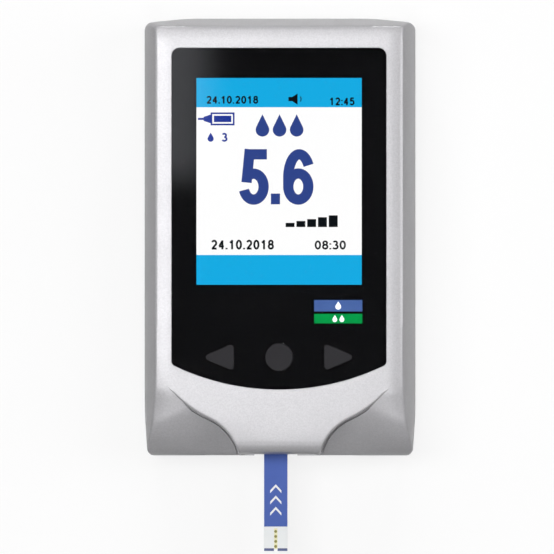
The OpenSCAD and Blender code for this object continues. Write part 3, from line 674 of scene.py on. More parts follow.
print("pads add up to", round(float((shoulder_height(x, y) - plain_shoulder(y)).max()), 2), "mm")

# %% Slots along the crease
SLOT_WIDE, SLOT_DEEP, SLOT_FLOOR = 0.62, 0.95, 0.45
SLOT_BACK, SLOT_RISE, SLOT_RUN_OUT = 0.05, 0.4, 0.6
WALL_LEAST = 0.4
path = np.concatenate([upper_line[:-1], lower_line])
beyond = np.concatenate([(upper_line - upper_at)[:-1] / UPPER_ARC, (lower_at - lower_line) / LOWER_ARC])
ground = shoulder_height(path[:, 0], path[:, 1])
walled = face_z - ground > WALL_LEAST
path, beyond, ground = path[walled], beyond[walled], ground[walled]
grows = np.clip(face_z - ground - 0.35, 0.05, 1)
back = np.full(len(path), -SLOT_BACK)
corners = [
    (back, ground + SLOT_RISE),
    (SLOT_WIDE * grows, ground + SLOT_RISE),
    (SLOT_WIDE * SLOT_FLOOR * grows, ground - SLOT_DEEP * grows),
    (back, ground - SLOT_DEEP * grows),
]


def crease_slot(side):
    spots = [np.column_stack([path + beyond * reach[:, None], level]) for reach, level in corners]
    rows = np.stack(spots, axis=1) * [side, 1, 1]
    rows = np.concatenate([rows, rows[-1:] - (0, SLOT_RUN_OUT, 0)])
    ids = np.arange(4 * len(rows)).reshape(-1, 4)
    faces = [
        [a[k], a[(k + 1) % 4], b[(k + 1) % 4], b[k]] for a, b in zip(ids[:-1], ids[1:]) for k in range(4)
    ]
    return solid_from("slot", rows.reshape(-1, 3), faces + [ids[0, ::-1], ids[-1]])


slots = [crease_slot(side) for side in (-1, 1)]
print("slots", SLOT_WIDE, "mm wide and", SLOT_DEEP, "mm deep")

# %% [markdown]
# ## Front cover
# A merged copy of the cover is joined with the pads and cut to the two forms and the slots. It keeps
# its posts, ledge and walls, and gets the soft outer form. The manifold solver does this in a second,
# because all the solids are closed.


# %% Joining and cutting
def cut_or_join(name, piece, other, kind):
    """Joins, crosses or subtracts two closed solids and returns a plain mesh."""
    for solid in (piece, other):
        bpy.context.scene.collection.objects.link(solid)
    change = piece.modifiers.new("change", "BOOLEAN")
    change.operation, change.object, change.solver = kind, other, "MANIFOLD"
    bpy.context.view_layer.update()
    mesh = bpy.data.meshes.new_from_object(piece.evaluated_get(bpy.context.evaluated_depsgraph_get()))
    for solid in (piece, other):
        bpy.data.objects.remove(solid)
    mesh.name = name
    return bpy.data.objects.new(name, mesh)


def merged_copy(name, node):
    """A copy of a solid's mesh with its loose triangles merged, and its stored normals left out."""
    work = bmesh.new()
    work.from_mesh(nodes[node].data)
    bmesh.ops.remove_doubles(work, verts=work.verts, dist=0.002 * MM)
    mesh = bpy.data.meshes.new(name)
    work.to_mesh(mesh)
    work.free()
    if "custom_normal" in mesh.attributes:
        mesh.attributes.remove(mesh.attributes["custom_normal"])
    return bpy.data.objects.new(name, mesh)


# %% Front shell
SHARP_EDGE = 28
soft_form = cut_or_join("soft_form", face, shoulders, "UNION")
shell = merged_copy("cover_copy", "front_cover")
for pad in pads:
    shell = cut_or_join("cover_copy", shell, pad, "UNION")
shell = cut_or_join("front_shell", shell, soft_form, "INTERSECT")
for slot in slots:
    shell = cut_or_join("front_shell", shell, slot, "DIFFERENCE")
shell.data.shade_smooth()
shell.data.set_sharp_from_angle(angle=math.radians(SHARP_EDGE))
add_piece(shell, "case", silver_paint)
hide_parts("front_cover")
print("front cover has", len(shell.data.polygons), "faces")

# %% [markdown]
# ## Moulded plastics
# Plastic takes the texture of its mould: a fine spark-eroded grain that makes it matt, with slow
# changes of shade where the melt flowed. One recipe, with its own colour and grain, serves the keys,
# the sockets and the white sliding pieces.


# %% Moulded plastics
MELT_MM = 3


def moulded_plastic(name, base, flow, grain_mm, roughness, depth_mm=0.01, **more):
    made, tree, shader = new_material(name, base, roughness, **more)
    place = add_node(tree, "ShaderNodeTexCoord").outputs["Object"]
    melt = add_node(
        tree,
        "ShaderNodeTexNoise",
        values={"Scale": 1 / (MELT_MM * MM), "Detail": 2.0},
        links={"Vector": place},
    )
    shade = add_node(
        tree,
        "ShaderNodeMixRGB",
        values={"Color1": linear(base), "Color2": linear(flow)},
        links={"Fac": melt.outputs["Fac"]},
    )
    tree.links.new(shade.outputs["Color"], shader.inputs["Base Color"])
    relief(tree, shader, place, size_mm=grain_mm, detail=4.0, strength=0.4, depth_mm=depth_mm)
    return made


key_rubber = moulded_plastic("soft_touch_keys", "#2a292c", "#252427", 0.18, 0.6, Specular_IOR_Level=0.12)
black_abs = moulded_plastic("black_abs", "#19191b", "#202022", 0.2, 0.5)
white_acetal = moulded_plastic("white_acetal", "#e9e9e4", "#dedfd9", 0.25, 0.38)
ivory_nylon = moulded_plastic("ivory_nylon", "#ddd6c4", "#e6e0d0", 0.2, 0.45)
black_foam = moulded_plastic("black_foam", "#101011", "#1a1a1b", 0.12, 0.95, 0.05, Specular_IOR_Level=0.2)
light_guide = moulded_plastic("light_guide", "#f3f6f7", "#e9eef0", 0.4, 0.25)

paint(["button_left", "button_ok", "button_right", "ejector_button"], key_rubber)
paint(["key_switches", "strip_port_guide", "buzzer"], black_abs)
paint(["switch_stem_left", "switch_stem_ok", "switch_stem_right", "ejector_slider"], white_acetal)
paint(["strip_connector"], ivory_nylon)
paint(["screen_gasket"], black_foam)
paint(["lcd_backlight"], light_guide)
print("six moulded finishes")

# %% [markdown]
# ## Metals
# Three metals show or work inside: zinc plated steel for the screws and the display's tray, nickel
# for the battery contacts, and gold flash on the strip's contacts. Sheet and wire are drawn or rolled,
# so each has fine lines in one direction. The lines are 0.05 mm apart on the real pieces and are
# drawn 0.12 mm apart.


# %% Metals
LINE_MM = 0.12


def rolled_metal(name, base, dark, roughness, stretch):
    made, tree, shader = new_material(name, base, roughness, Metallic=1.0)
    place = add_node(tree, "ShaderNodeTexCoord").outputs["Object"]
    along = add_node(tree, "ShaderNodeMapping", values={"Scale": stretch}, links={"Vector": place})
    lines = add_node(
        tree,
        "ShaderNodeTexNoise",
        values={"Scale": 1 / (LINE_MM * MM), "Detail": 3.0},
        links={"Vector": along.outputs[0]},
    )
    shade = add_node(
        tree,
        "ShaderNodeMixRGB",
        values={"Color1": linear(dark), "Color2": linear(base)},
        links={"Fac": lines.outputs["Fac"]},
    )
    tree.links.new(shade.outputs["Color"], shader.inputs["Base Color"])
    rough = add_node(
        tree,
        "ShaderNodeMapRange",
        values={"To Min": roughness - 0.08, "To Max": roughness + 0.1},
        links={"Value": lines.outputs["Fac"]},
    )
    tree.links.new(rough.outputs["Result"], shader.inputs["Roughness"])
    return made


zinc_steel = rolled_metal("zinc_plated_steel", "#c3c5c8", "#9ea1a6", 0.32, (1.0, 1.0, 0.15))
nickel = rolled_metal("nickel_plate", "#cfcabf", "#a9a499", 0.25, (0.12, 1.0, 1.0))
gold = rolled_metal("gold_flash", "#e3bd62", "#c69c43", 0.22, (1.0, 0.1, 1.0))
paint(["case_screws", "board_screws", "lcd_frame"], zinc_steel)
paint(["battery_springs", "battery_plates"], nickel)
paint(["strip_contacts"], gold)
print("three metals, with lines", LINE_MM, "mm apart")

# %% [markdown]
# ## Circuit board, chips and ribbon
# The board is glass fibre laminate under a green solder mask. The copper tracks under the mask make
# it lighter in bands, here 0.5 mm wide with 0.5 mm between them. The ribbon is amber polyimide with
# copper lines along it.


# %% Circuit board, chips and ribbon
def banded(name, base, band, pitch_mm, axis, roughness, **more):
    made, tree, shader = new_material(name, base, roughness, **more)
    place = add_node(tree, "ShaderNodeTexCoord").outputs["Object"]
    bands = add_node(
        tree,
        "ShaderNodeTexWave",
        {"bands_direction": axis, "wave_profile": "TRI"},
        {"Scale": math.pi / (10 * pitch_mm * MM), "Distortion": 0.6, "Detail": 1.0},
        {"Vector": place},
    )
    edge = add_node(
        tree,
        "ShaderNodeMapRange",
        values={"From Min": 0.45, "From Max": 0.55},
        links={"Value": bands.outputs["Fac"]},
    )
    shade = add_node(
        tree,
        "ShaderNodeMixRGB",
        values={"Color1": linear(base), "Color2": linear(band)},
        links={"Fac": edge.outputs["Result"]},
    )
    tree.links.new(shade.outputs["Color"], shader.inputs["Base Color"])
    bump = add_node(
        tree,
        "ShaderNodeBump",
        values={"Strength": 0.5, "Distance": 0.03 * MM},
        links={"Height": edge.outputs["Result"]},
    )
    tree.links.new(bump.outputs["Normal"], shader.inputs["Normal"])
    return made


solder_mask = banded("green_solder_mask", "#17603c", "#23784e", 1.0, "X", 0.3)
amber_ribbon = banded("amber_ribbon", "#a8621f", "#c98b45", 0.5, "X", 0.3)
paint(["main_board"], solder_mask)
paint(["lcd_flex"], amber_ribbon)
paint(["board_components"], black_abs)
print("board and ribbon")

# %% [markdown]
# ## Window
# The window is polished acrylic, clear as glass, over a black print that leaves only the picture
# open. Light passes it without a shadow, so a shadow ray meets a clear surface instead of a lens.

# %% Window and its black print
acrylic, tree, shader = new_material("clear_acrylic", "#ffffff", 0.02, IOR=1.49, Transmission_Weight=1.0)
rays = add_node(tree, "ShaderNodeLightPath")
passing = add_node(tree, "ShaderNodeBsdfTransparent")
mixed = add_node(
    tree,
    "ShaderNodeMixShader",
    links={0: rays.outputs["Is Shadow Ray"], 1: shader.outputs["BSDF"], 2: passing.outputs[0]},
)
tree.links.new(mixed.outputs[0], tree.nodes["Material Output"].inputs["Surface"])
screen_ink = moulded_plastic(
    "black_screen_ink", "#070708", "#09090a", 0.2, 0.6, 0.004, Specular_IOR_Level=0.0
)
paint(["display_window"], acrylic)
paint(["window_mask"], screen_ink)
print("window and ink")

# %% [markdown]
# ## Soft edges
# No moulded edge is sharp. A bevel of two steps rounds the edges of the keys by 0.32 mm, of the
# window by 0.08 mm and of the sliding pieces by 0.15 mm, so they catch a thin light. The print is
# moved down by a hundredth of a millimetre, so that it doesn't lie in the plane of the window's back.


# %% Soft edges
def soften(names, width_mm):
    """Welds a solid's loose triangles and rounds its sharp edges."""
    for name in names:
        weld = nodes[name].modifiers.new("weld", "WELD")
        weld.merge_threshold = 1e-6
        bevel = nodes[name].modifiers.new("edge", "BEVEL")
        bevel.width = width_mm * MM
        bevel.segments = 2
        bevel.limit_method = "ANGLE"
        bevel.angle_limit = math.radians(30)
        bevel.harden_normals = True


INK_GAP_MM = 0.01
soften(["button_left", "button_ok", "button_right"], 0.32)
soften(["display_window"], 0.08)
soften(["battery_door", "ejector_button"], 0.15)
ink_gap = nodes["window_mask"].modifiers.new("ink_gap", "DISPLACE")
ink_gap.direction = "Z"
ink_gap.mid_level = 0.0
ink_gap.strength = -INK_GAP_MM * MM
print("softened the keys, the window and the sliding pieces")

# %% [markdown]
# ## Printed shapes
# Most of what the screen and the strip show is flat: bars, signs and numerals. Each is a very thin
# closed solid cut from an outline in millimetres, so it has an edge and a front and is still seen
# when it is viewed from the side.


# %% Flat shapes
PRINT_MM = 0.01


def flat_shapes(name, outlines, z_mm):
    """Thin closed solids with the given outlines in millimetres, their tops at a height."""
    shape = bmesh.new()
    for outline in outlines:
        low = [shape.verts.new((x * MM, y * MM, (z_mm - PRINT_MM) * MM)) for x, y in outline]
        high = [shape.verts.new((x * MM, y * MM, z_mm * MM)) for x, y in outline]
        shape.faces.new(high)
        shape.faces.new(low[::-1])
        for i in range(len(outline)):
            j = (i + 1) % len(outline)
            shape.faces.new((low[i], low[j], high[j], high[i]))
    return closed_solid(name, shape)


def bar(x0, y0, x1, y1):
    return [(x0, y0), (x1, y0), (x1, y1), (x0, y1)]


def drop_sign(x, y, width, height, steps=20):
    """A blood drop with its point up: a round foot and two straight sides that touch it."""
    radius = width / 2
    rise = height - radius
    reach = math.asin(radius / rise)
    turns = [-math.pi - reach + (math.pi + 2 * reach) * i / steps for i in range(steps + 1)]
    return [(x + radius * math.cos(a), y + radius + radius * math.sin(a)) for a in turns] + [(x, y + height)]


print("a drop sign has", len(drop_sign(0, 0, 2, 3)), "points")


# %% Pen strokes
def pen_strokes(name, strokes, width, z_mm):
    """Thin closed solids drawn by a broad pen. A stroke is its points and whether it closes."""
    low_z = z_mm - PRINT_MM
    shape = bmesh.new()
    for points, closed in strokes:
        count = len(points)
        rows = []
        for i, (x, y) in enumerate(points):
            before = points[i - 1] if closed or i > 0 else points[i]
            after = points[(i + 1) % count] if closed or i < count - 1 else points[i]
            dx, dy = after[0] - before[0], after[1] - before[1]
            reach = width / 2 / math.hypot(dx, dy)
            left, right = (x - dy * reach, y + dx * reach), (x + dy * reach, y - dx * reach)
            row = [(*left, low_z), (*right, low_z), (*right, z_mm), (*left, z_mm)]
            rows.append([shape.verts.new([v * MM for v in corner]) for corner in row])
        for i in range(count if closed else count - 1):
            a, b = rows[i], rows[(i + 1) % count]
            for j in range(4):
                shape.faces.new((a[j], b[j], b[(j + 1) % 4], a[(j + 1) % 4]))
        if not closed:
            shape.faces.new(rows[0][::-1])
            shape.faces.new(rows[-1])
    return closed_solid(name, shape)


def arc(x, y, radius_x, radius_y, start, end, steps=36):
    """Points of an oval arc between two angles in degrees."""
    turns = [math.radians(start + (end - start) * i / steps) for i in range(steps + 1)]
    return [(x + radius_x * math.cos(a), y + radius_y * math.sin(a)) for a in turns]


print("an arc has", len(arc(0, 0, 1, 1, 0, 90)), "points")

# %% [markdown]
# ## Numerals
# The screen's small numerals are plain and bold. Each figure is a few strokes of a broad pen in a
# square from (0, 0) to (1, 1), which is then set to its place and width.

# %% Numerals
FIGURES = {
    "0": [(arc(0.5, 0.5, 0.5, 0.5, 0, 350, 32), True)],
    "1": [([(0.08, 0.74), (0.66, 0.98)], False), ([(0.6, 1.09), (0.6, -0.09)], False)],
    "2": [
        (arc(0.5, 0.7, 0.48, 0.3, 160, -35, 18) + [(0.1, 0.02)], False),
        ([(-0.08, 0), (1.08, 0)], False),
    ],
    "3": [
        (arc(0.46, 0.76, 0.42, 0.24, 150, -90, 16), False),
        (arc(0.46, 0.26, 0.54, 0.26, 90, -150, 18), False),
    ],
    "4": [
        ([(0.74, -0.09), (0.74, 1.05)], False),
        ([(0.72, 0.98), (0.0, 0.27)], False),
        ([(-0.08, 0.27), (1.1, 0.27)], False),
    ],
    "5": [
        ([(0.12, 1), (1, 1)], False),
        ([(0.2, 1.05), (0.1, 0.5)], False),
        (arc(0.46, 0.32, 0.54, 0.32, 145, -150, 22), False),
    ],
    "8": [(arc(0.5, 0.77, 0.42, 0.23, 0, 345, 24), True), (arc(0.5, 0.27, 0.5, 0.27, 0, 345, 26), True)],
    ".": [([(0, -0.09), (0, 0.09)], False)],
    ":": [([(0, -0.09), (0, 0.09)], False), ([(0, 0.55), (0, 0.73)], False)],
}
PEN_SHARE, GAP_SHARE = 0.2, 0.11


def numerals(name, text, box, z_mm):
    """Plain bold numerals that fill a box of left, bottom, right and top in millimetres."""
    tall = box[3] - box[1]
    pen, gap = PEN_SHARE * tall, GAP_SHARE * tall
    narrow = sum(mark in ".:" for mark in text)
    wide = (box[2] - box[0] - narrow * pen - gap * (len(text) - 1)) / (len(text) - narrow)
    strokes, left = [], box[0]
    for mark in text:
        across = 0 if mark in ".:" else wide - pen
        for points, closed in FIGURES[mark]:
            spots = [(left + pen / 2 + u * across, box[1] + pen / 2 + v * (tall - pen)) for u, v in points]
            strokes.append((spots, closed))
        left += across + pen + gap
    return pen_strokes(name, strokes, pen, z_mm)


print(len(FIGURES), "figures and marks")

# %% [markdown]
# ## Screen picture
# A colour liquid crystal display is lit from behind, so its colours are emission, not paint. The
# pixels of such a display are about 0.2 mm wide, and a grid of slightly darker lines parts them.
# Names and words are left off: signs and plain numerals fill their places.


# %% Screen colours
HALF_PIXEL_MM, LINE_EDGE_MM = 0.1, 0.02


def lit_pixels(name, colour, strength):
    made, tree, shader = new_material(name, "#000000", 0.6, Specular_IOR_Level=0.0)
    place = add_node(tree, "ShaderNodeTexCoord").outputs["Object"]
    axes = add_node(tree, "ShaderNodeSeparateXYZ", links={"Vector": place})
    column, row = (
        add_node(
            tree,
            "ShaderNodeMath",
            {"operation": "PINGPONG"},
            {1: HALF_PIXEL_MM * MM},
            {0: axes.outputs[axis]},
        )
        for axis in "XY"
    )
    near = add_node(
        tree, "ShaderNodeMath", {"operation": "MINIMUM"}, links={0: column.outputs[0], 1: row.outputs[0]}
    )
    gap = add_node(
        tree,
        "ShaderNodeMapRange",
        values={"From Max": LINE_EDGE_MM * MM, "To Min": 0.93 * strength, "To Max": 1.01 * strength},
        links={"Value": near.outputs[0]},
    )
    shader.inputs["Emission Color"].default_value = linear(colour)
    tree.links.new(gap.outputs["Result"], shader.inputs["Emission Strength"])
    return made


screen_white = lit_pixels("lit_pixels_white", "#ffffff", 1.08)
screen_cyan = lit_pixels("lit_pixels_cyan", "#17abe3", 1.08)
screen_navy = lit_pixels("lit_pixels_navy", "#33488f", 1.0)
screen_blue = lit_pixels("lit_pixels_blue", "#21389a", 1.0)
screen_black = lit_pixels("lit_pixels_black", "#101418", 1.0)
panel_glass = moulded_plastic("display_panel", "#1c2a2e", "#1f2f34", 0.5, 0.12, 0.002)
paint(["lcd_glass"], panel_glass)
print("five colours with lines", 2 * HALF_PIXEL_MM, "mm apart")

# %% Field, bars and reading
screen_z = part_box("lcd_glass")[1][2] / MM
field_z, bars_z, signs_z = screen_z + 0.01, screen_z + 0.02, screen_z + 0.04
HALF_PICTURE, PICTURE_LOW, PICTURE_HIGH = 17.63, -10.2, 33.9
picture = flat_shapes("picture_field", [bar(-HALF_PICTURE, PICTURE_LOW, HALF_PICTURE, PICTURE_HIGH)], field_z)
add_piece(picture, "case", screen_white)
bar_outlines = [
    bar(-HALF_PICTURE, 27.65, HALF_PICTURE, PICTURE_HIGH),
    bar(-HALF_PICTURE, PICTURE_LOW, HALF_PICTURE, -3.85),
]
add_piece(flat_shapes("picture_bars", bar_outlines, bars_z), "case", screen_cyan)

READING_PEN = 2.2
five = [
    ([(-2.6, 17.62), (-5.0, 17.62), (-7.3, 17.62)], False),
    ([(-6.25, 18.72), (-6.6, 15.0), (-6.95, 11.6)], False),
    (arc(-5.42, 10.72, 2.12, 2.77, 140, -165), False),
]
six = [
    (arc(4.1, 10.74, 2.14, 2.79, 0, 360)[:-1], True),
    (arc(4.3, 12.6, 2.34, 5.02, 32, 180) + [(1.96, 11.6), (1.98, 10.6)], False),
]
reading = [
    pen_strokes("reading_5", five, READING_PEN, signs_z),
    pen_strokes("reading_6", six, READING_PEN, signs_z),
    flat_shapes("reading_point", [bar(-1.75, 6.95, 0.2, 9.25)], signs_z),
]
for piece in reading:
    add_piece(piece, "case", screen_navy)
print("picture", 2 * HALF_PICTURE, "by", PICTURE_HIGH - PICTURE_LOW, "mm at", round(screen_z, 2), "mm")

# %% Small numerals and signs
small = [
    numerals("date_above", "24.10.2018", (-15.5, 28.4, -4.45, 30.1), signs_z),
    numerals("clock_above", "12:45", (10.7, 28.05, 16.1, 29.75), signs_z),
    numerals("date_below", "24.10.2018", (-14.5, -2.7, -1.1, -0.6), signs_z),
    numerals("clock_below", "08:30", (7.6, -2.7, 14.25, -0.75), signs_z),
]
speaker_outlines = [bar(2.0, 28.95, 3.0, 29.85), [(2.75, 29.0), (3.95, 28.2), (3.95, 30.6), (2.75, 29.8)]]
speaker = flat_shapes("speaker_sign", speaker_outlines, signs_z)
sound = pen_strokes("sound_sign", [(arc(3.9, 29.4, 0.8, 0.8, 40, -40, 10), False)], 0.2, signs_z)
for piece in small + [speaker, sound]:
    add_piece(piece, "case", screen_black)

vial = flat_shapes(
    "vial_sign",
    [
        bar(-14.6, 23.8, -9.5, 24.15),
        bar(-14.6, 26.2, -9.5, 26.55),
        bar(-9.85, 24.15, -9.5, 26.2),
        bar(-14.6, 24.15, -14.25, 26.2),
        bar(-13.9, 24.5, -10.2, 25.85),
        [(-16.1, 24.75), (-14.6, 24.25), (-14.6, 26.1), (-16.1, 25.6)],
        bar(-17.3, 24.95, -16.1, 25.4),
    ],
    signs_z,
)
heading = flat_shapes("drop_signs", [drop_sign(x, 21.4, 2.9, 4.75) for x in (-3.55, 0.1, 3.75)], signs_z)
small_drop = flat_shapes("small_drop_sign", [drop_sign(-14.6, 20.3, 1.3, 1.95)], signs_z)
small_three = numerals("small_3", "3", (-12.3, 20.3, -11.0, 22.2), signs_z)
for piece in (vial, small_drop, small_three):
    add_piece(piece, "case", screen_blue)
add_piece(heading, "case", screen_navy)

LEVEL_PITCH, LEVEL_STEP = 2.3, 0.4
levels = [bar(1.4 + LEVEL_PITCH * i, 2.1, 3.3 + LEVEL_PITCH * i, 3.0 + LEVEL_STEP * i) for i in range(5)]
add_piece(flat_shapes("level_bar", levels, signs_z), "case", screen_black)
print("signs at", round(signs_z, 2), "mm")

# %% [markdown]
# ## Colour bars under the screen
# Two small bars are printed on the back of the window in blue and green ink. Their words are left
# off: one drop and two drops tell them apart.

# %% Colour bars
BAR_X0, BAR_X1, PRINT_STEP = 7.5, 17.76, 0.012
ink_z = lens_low[2] / MM + PRINT_STEP
blue_ink = moulded_plastic("blue_screen_ink", "#3b5182", "#384d7c", 0.2, 0.6, 0.003, Specular_IOR_Level=0.0)
green_ink = moulded_plastic("green_screen_ink", "#067a38", "#057334", 0.2, 0.6, 0.003, Specular_IOR_Level=0.0)
white_ink = moulded_plastic("white_screen_ink", "#e6ebf2", "#dfe5ee", 0.2, 0.6, 0.003)
blue_bar = flat_shapes("blue_bar", [bar(BAR_X0, -15.9, BAR_X1, -13.46)], ink_z)
green_bar = flat_shapes("green_bar", [bar(BAR_X0, -18.45, BAR_X1, -16.4)], ink_z)
drops = [drop_sign(12.63, -15.5, 1.2, 1.75)] + [drop_sign(x, -18.15, 1.0, 1.5) for x in (11.9, 13.4)]
bar_drops = flat_shapes("bar_drops", drops, ink_z + PRINT_STEP)
for piece, ink in ((blue_bar, blue_ink), (green_bar, green_ink), (bar_drops, white_ink)):
    add_piece(piece, "case", ink)
print("bars at", round(ink_z, 2), "mm")

# %% [markdown]
# ## Test strip
# A test strip is a white polyester film with a printed face. Most of this one is blue. Its free end
# is white with a pale channel, through which the sample is drawn, and a blue tip with a notch.

# %% Strip finishes
strip_low, strip_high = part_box("strip_cover")
film_z = strip_high[2] / MM
strip_x0, strip_x1 = strip_low[0] / MM, strip_high[0] / MM
strip_mid = (strip_x0 + strip_x1) / 2
tip_y, inner_y = strip_low[1] / MM, strip_high[1] / MM
film = moulded_plastic("white_polyester", "#f3f5f5", "#eceff0", 0.3, 0.35, 0.003)
blue_print = moulded_plastic("blue_strip_ink", "#506abc", "#4864b4", 0.2, 0.5, 0.003, Specular_IOR_Level=0.2)
tip_print = moulded_plastic("tip_strip_ink", "#38497d", "#344476", 0.2, 0.4, 0.003)
channel_tint = moulded_plastic("pale_channel", "#f0ecc4", "#e8e3b4", 0.3, 0.3, 0.003)
reagent = moulded_plastic("olive_reagent", "#8f8a35", "#7d7829", 0.2, 0.6, 0.01)
paint(["strip_base", "strip_cover"], film)
print("strip from", round(tip_y, 2), "to", round(inner_y, 2), "mm")

# %% Strip print
PRINT_EDGE = 0.06
print_x0, print_x1, print_z = strip_x0 + PRINT_EDGE, strip_x1 - PRINT_EDGE, film_z + 0.01
BLUE_END, BLUE_INSIDE, TIP_END, NOTCH_HALF, CHANNEL_HALF = -61.95, 4, -66.6, 0.4, 0.35
blue = flat_shapes("strip_blue_print", [bar(print_x0, BLUE_END, print_x1, inner_y - BLUE_INSIDE)], print_z)
add_piece(blue, "strip", blue_print)
tip_bars = [
    bar(print_x0, tip_y + 0.02, strip_mid - NOTCH_HALF, TIP_END),
    bar(strip_mid + NOTCH_HALF, tip_y + 0.02, print_x1, TIP_END),
]
add_piece(flat_shapes("strip_tip_print", tip_bars, print_z), "strip", tip_print)
channel_bar = bar(strip_mid - CHANNEL_HALF, -66.75, strip_mid + CHANNEL_HALF, -62.3)
add_piece(flat_shapes("strip_channel", [channel_bar], print_z), "strip", channel_tint)


def chevron(x, y, half, arm, thick):
    """An arrow head that points into the meter."""
    return [
        (x - half, y),
        (x, y + arm),
        (x + half, y),
        (x + half, y + thick),
        (x, y + arm + thick),
        (x - half, y + thick),
    ]


arrows = [chevron(strip_mid, y, 1.2, 1.3, 0.6) for y in (-59.6, -57.2, -54.8)]
add_piece(flat_shapes("strip_arrows", arrows, film_z + 0.02), "strip", film)
print("blue from", BLUE_END, "to", round(inner_y - BLUE_INSIDE, 2), "mm, and", len(arrows), "arrows")

# %% [markdown]
# ## Dots along the strip's channel
# Four small dots of reagent show in the channel. They repeat at one pitch, so Geometry Nodes set a
# disc on each point of a line. The tree ends in real geometry, because the export drops instances.


# %% Geometry Nodes helpers
def new_tree(name, inputs):
    """A geometry tree with named number inputs, and the nodes at its two ends."""
    tree = bpy.data.node_groups.new(name, "GeometryNodeTree")
    for label, value in inputs.items():
        socket = tree.interface.new_socket(label, in_out="INPUT", socket_type="NodeSocketFloat")
        socket.default_value = value
    tree.interface.new_socket("Geometry", in_out="OUTPUT", socket_type="NodeSocketGeometry")
    return tree, tree.nodes.new("NodeGroupInput"), tree.nodes.new("NodeGroupOutput")


def grown_piece(name, tree, sizes):
    """Runs a tree on an empty mesh with its inputs set by their identifiers, and keeps a plain mesh."""
    holder = bpy.data.objects.new(name + "_holder", bpy.data.meshes.new(name + "_holder"))
    bpy.context.scene.collection.objects.link(holder)
    grow = holder.modifiers.new("grow", "NODES")
    grow.node_group = tree
    for item in tree.interface.items_tree:
        if item.in_out == "INPUT" and item.name in sizes:
            grow[item.identifier] = float(sizes[item.name])
    bpy.context.view_layer.update()
    depsgraph = bpy.context.evaluated_depsgraph_get()
    mesh = bpy.data.meshes.new_from_object(holder.evaluated_get(depsgraph))
    bpy.data.objects.remove(holder)
    mesh.name = name
    return bpy.data.objects.new(name, mesh)


# %% Reagent dots
sizes = {"Pitch": 1.07 * MM, "Radius": 0.31 * MM, "Thick": 0.03 * MM}
dots, given, result = new_tree("dots_in_a_row", sizes)
step = add_node(dots, "ShaderNodeCombineXYZ", links={"Y": given.outputs["Pitch"]})
line = add_node(dots, "GeometryNodeMeshLine", values={"Count": 4}, links={"Offset": step.outputs[0]})
pill = add_node(
    dots,
    "GeometryNodeMeshCylinder",
    values={"Vertices": 20},
    links={"Radius": given.outputs["Radius"], "Depth": given.outputs["Thick"]},
)
row = add_node(
    dots,
    "GeometryNodeInstanceOnPoints",
    links={"Points": line.outputs["Mesh"], "Instance": pill.outputs["Mesh"]},
)
real = add_node(dots, "GeometryNodeRealizeInstances", links={"Geometry": row.outputs["Instances"]})
inked = add_node(
    dots,
    "GeometryNodeSetMaterial",
    values={"Material": reagent},
    links={"Geometry": real.outputs["Geometry"]},
)
dots.links.new(inked.outputs["Geometry"], result.inputs["Geometry"])
dot_row = grown_piece("strip_dots", dots, sizes)
DOT_FOOT = (strip_mid - 0.02, -66.2, film_z + 0.012)
for vertex in dot_row.data.vertices:
    vertex.co += Vector(DOT_FOOT) * MM
add_piece(dot_row, "strip", reagent)
print("dots:", len(dot_row.data.vertices), "points")

# %% [markdown]
# ## Battery springs
# A cell rests on a cone of sprung wire that closes to a flat coil. The solid's spring has an eight
# sided wire. A spiral curve with a round profile gives the same cone with a smooth wire, and one
# tree makes both springs, since they differ only in where they stand and which way they point.

# %% Battery springs
SPRING_WIRE, SPRING_TURNS, SPRING_LONG, FOOT_RADIUS, TIP_RADIUS = 0.4, 2.5, 2.8, 3.4, 1.8
spring_low, spring_high = (np.array(v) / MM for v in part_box("battery_springs"))
lengths = {
    "Wire": SPRING_WIRE * MM,
    "Turns": SPRING_TURNS,
    "Foot": FOOT_RADIUS * MM,
    "Tip": TIP_RADIUS * MM,
    "Rise": (SPRING_LONG - SPRING_WIRE) * MM,
}
coil, given, result = new_tree("cone_spring", lengths)
spiral = add_node(
    coil,
    "GeometryNodeCurveSpiral",
    values={"Resolution": 40},
    links={
        "Rotations": given.outputs["Turns"],
        "Start Radius": given.outputs["Foot"],
        "End Radius": given.outputs["Tip"],
        "Height": given.outputs["Rise"],
    },
)
half = add_node(coil, "ShaderNodeMath", {"operation": "MULTIPLY"}, {1: 0.5}, {0: given.outputs["Wire"]})
profile = add_node(
    coil, "GeometryNodeCurvePrimitiveCircle", values={"Resolution": 12}, links={"Radius": half.outputs[0]}
)
wire = add_node(
    coil,
    "GeometryNodeCurveToMesh",
    values={"Fill Caps": True},
    links={"Curve": spiral.outputs["Curve"], "Profile Curve": profile.outputs["Curve"]},
)
real = add_node(coil, "GeometryNodeRealizeInstances", links={"Geometry": wire.outputs["Mesh"]})
plated = add_node(
    coil, "GeometryNodeSetMaterial", values={"Material": nickel}, links={"Geometry": real.outputs["Geometry"]}
)
coil.links.new(plated.outputs["Geometry"], result.inputs["Geometry"])
cell_x = spring_high[0] - FOOT_RADIUS - SPRING_WIRE / 2
cell_z = (spring_low[2] + spring_high[2]) / 2
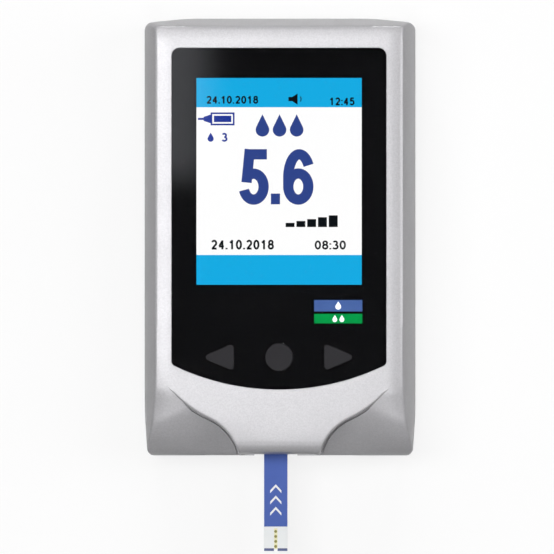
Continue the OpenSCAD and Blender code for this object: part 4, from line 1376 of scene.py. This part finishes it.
for side, foot_y in ((-1, spring_low[1]), (1, spring_high[1])):
    spring = grown_piece("spring_left" if side < 0 else "spring_right", coil, lengths)
    for vertex in spring.data.vertices:
        u, v, w = vertex.co / MM
        vertex.co = Vector((side * cell_x + u, foot_y - side * (w + SPRING_WIRE / 2), cell_z - side * v)) * MM
    spring.data.shade_smooth()
    add_piece(spring, "case", nickel)
    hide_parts("battery_springs")
print("springs at x", round(cell_x, 2), "mm, height", round(cell_z, 2), "mm")

# %% [markdown]
# ## Cells
# The two cells have a plain printed sleeve: dark green with a metal coloured band at the button end.
# The sleeve's colour changes along the cell, so the pattern reads the place along Y. The cells lie
# head to tail, so each has its own finish.


# %% Cells
BAND_LONG, BAND_EDGE = 10.4, 0.2


def cell_sleeve(name, button_end_y, direction):
    made, tree, shader = new_material(name, "#1d5a44", 0.28, Coat_Weight=0.5, Coat_Roughness=0.1)
    place = add_node(tree, "ShaderNodeTexCoord").outputs["Object"]
    axes = add_node(tree, "ShaderNodeSeparateXYZ", links={"Vector": place})
    along = add_node(
        tree,
        "ShaderNodeMapRange",
        values={
            "From Min": (button_end_y - direction * BAND_LONG) * MM,
            "From Max": (button_end_y - direction * (BAND_LONG - BAND_EDGE)) * MM,
        },
        links={"Value": axes.outputs["Y"]},
    )
    sleeve = add_node(
        tree,
        "ShaderNodeMixRGB",
        values={"Color1": linear("#1d5a44"), "Color2": linear("#b9a26a")},
        links={"Fac": along.outputs["Result"]},
    )
    tree.links.new(sleeve.outputs["Color"], shader.inputs["Base Color"])
    shine = add_node(
        tree, "ShaderNodeMapRange", values={"To Max": 0.9}, links={"Value": along.outputs["Result"]}
    )
    tree.links.new(shine.outputs["Result"], shader.inputs["Metallic"])
    relief(tree, shader, place, size_mm=1.5, detail=2.0, strength=0.2, depth_mm=0.02)
    return made


cell_low, cell_high = (corner[1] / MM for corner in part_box("battery_left"))
paint(["battery_left"], cell_sleeve("cell_sleeve_left", cell_high, 1))
paint(["battery_right"], cell_sleeve("cell_sleeve_right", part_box("battery_right")[0][1] / MM, -1))
print("cells", round(cell_high - cell_low, 1), "mm long")

# %% [markdown]
# ## View transform
# The scene is shown with the Standard view transform. Nothing above may make the meter bigger than
# its solids.

# %% View transform
bpy.context.scene.view_settings.view_transform = "Standard"
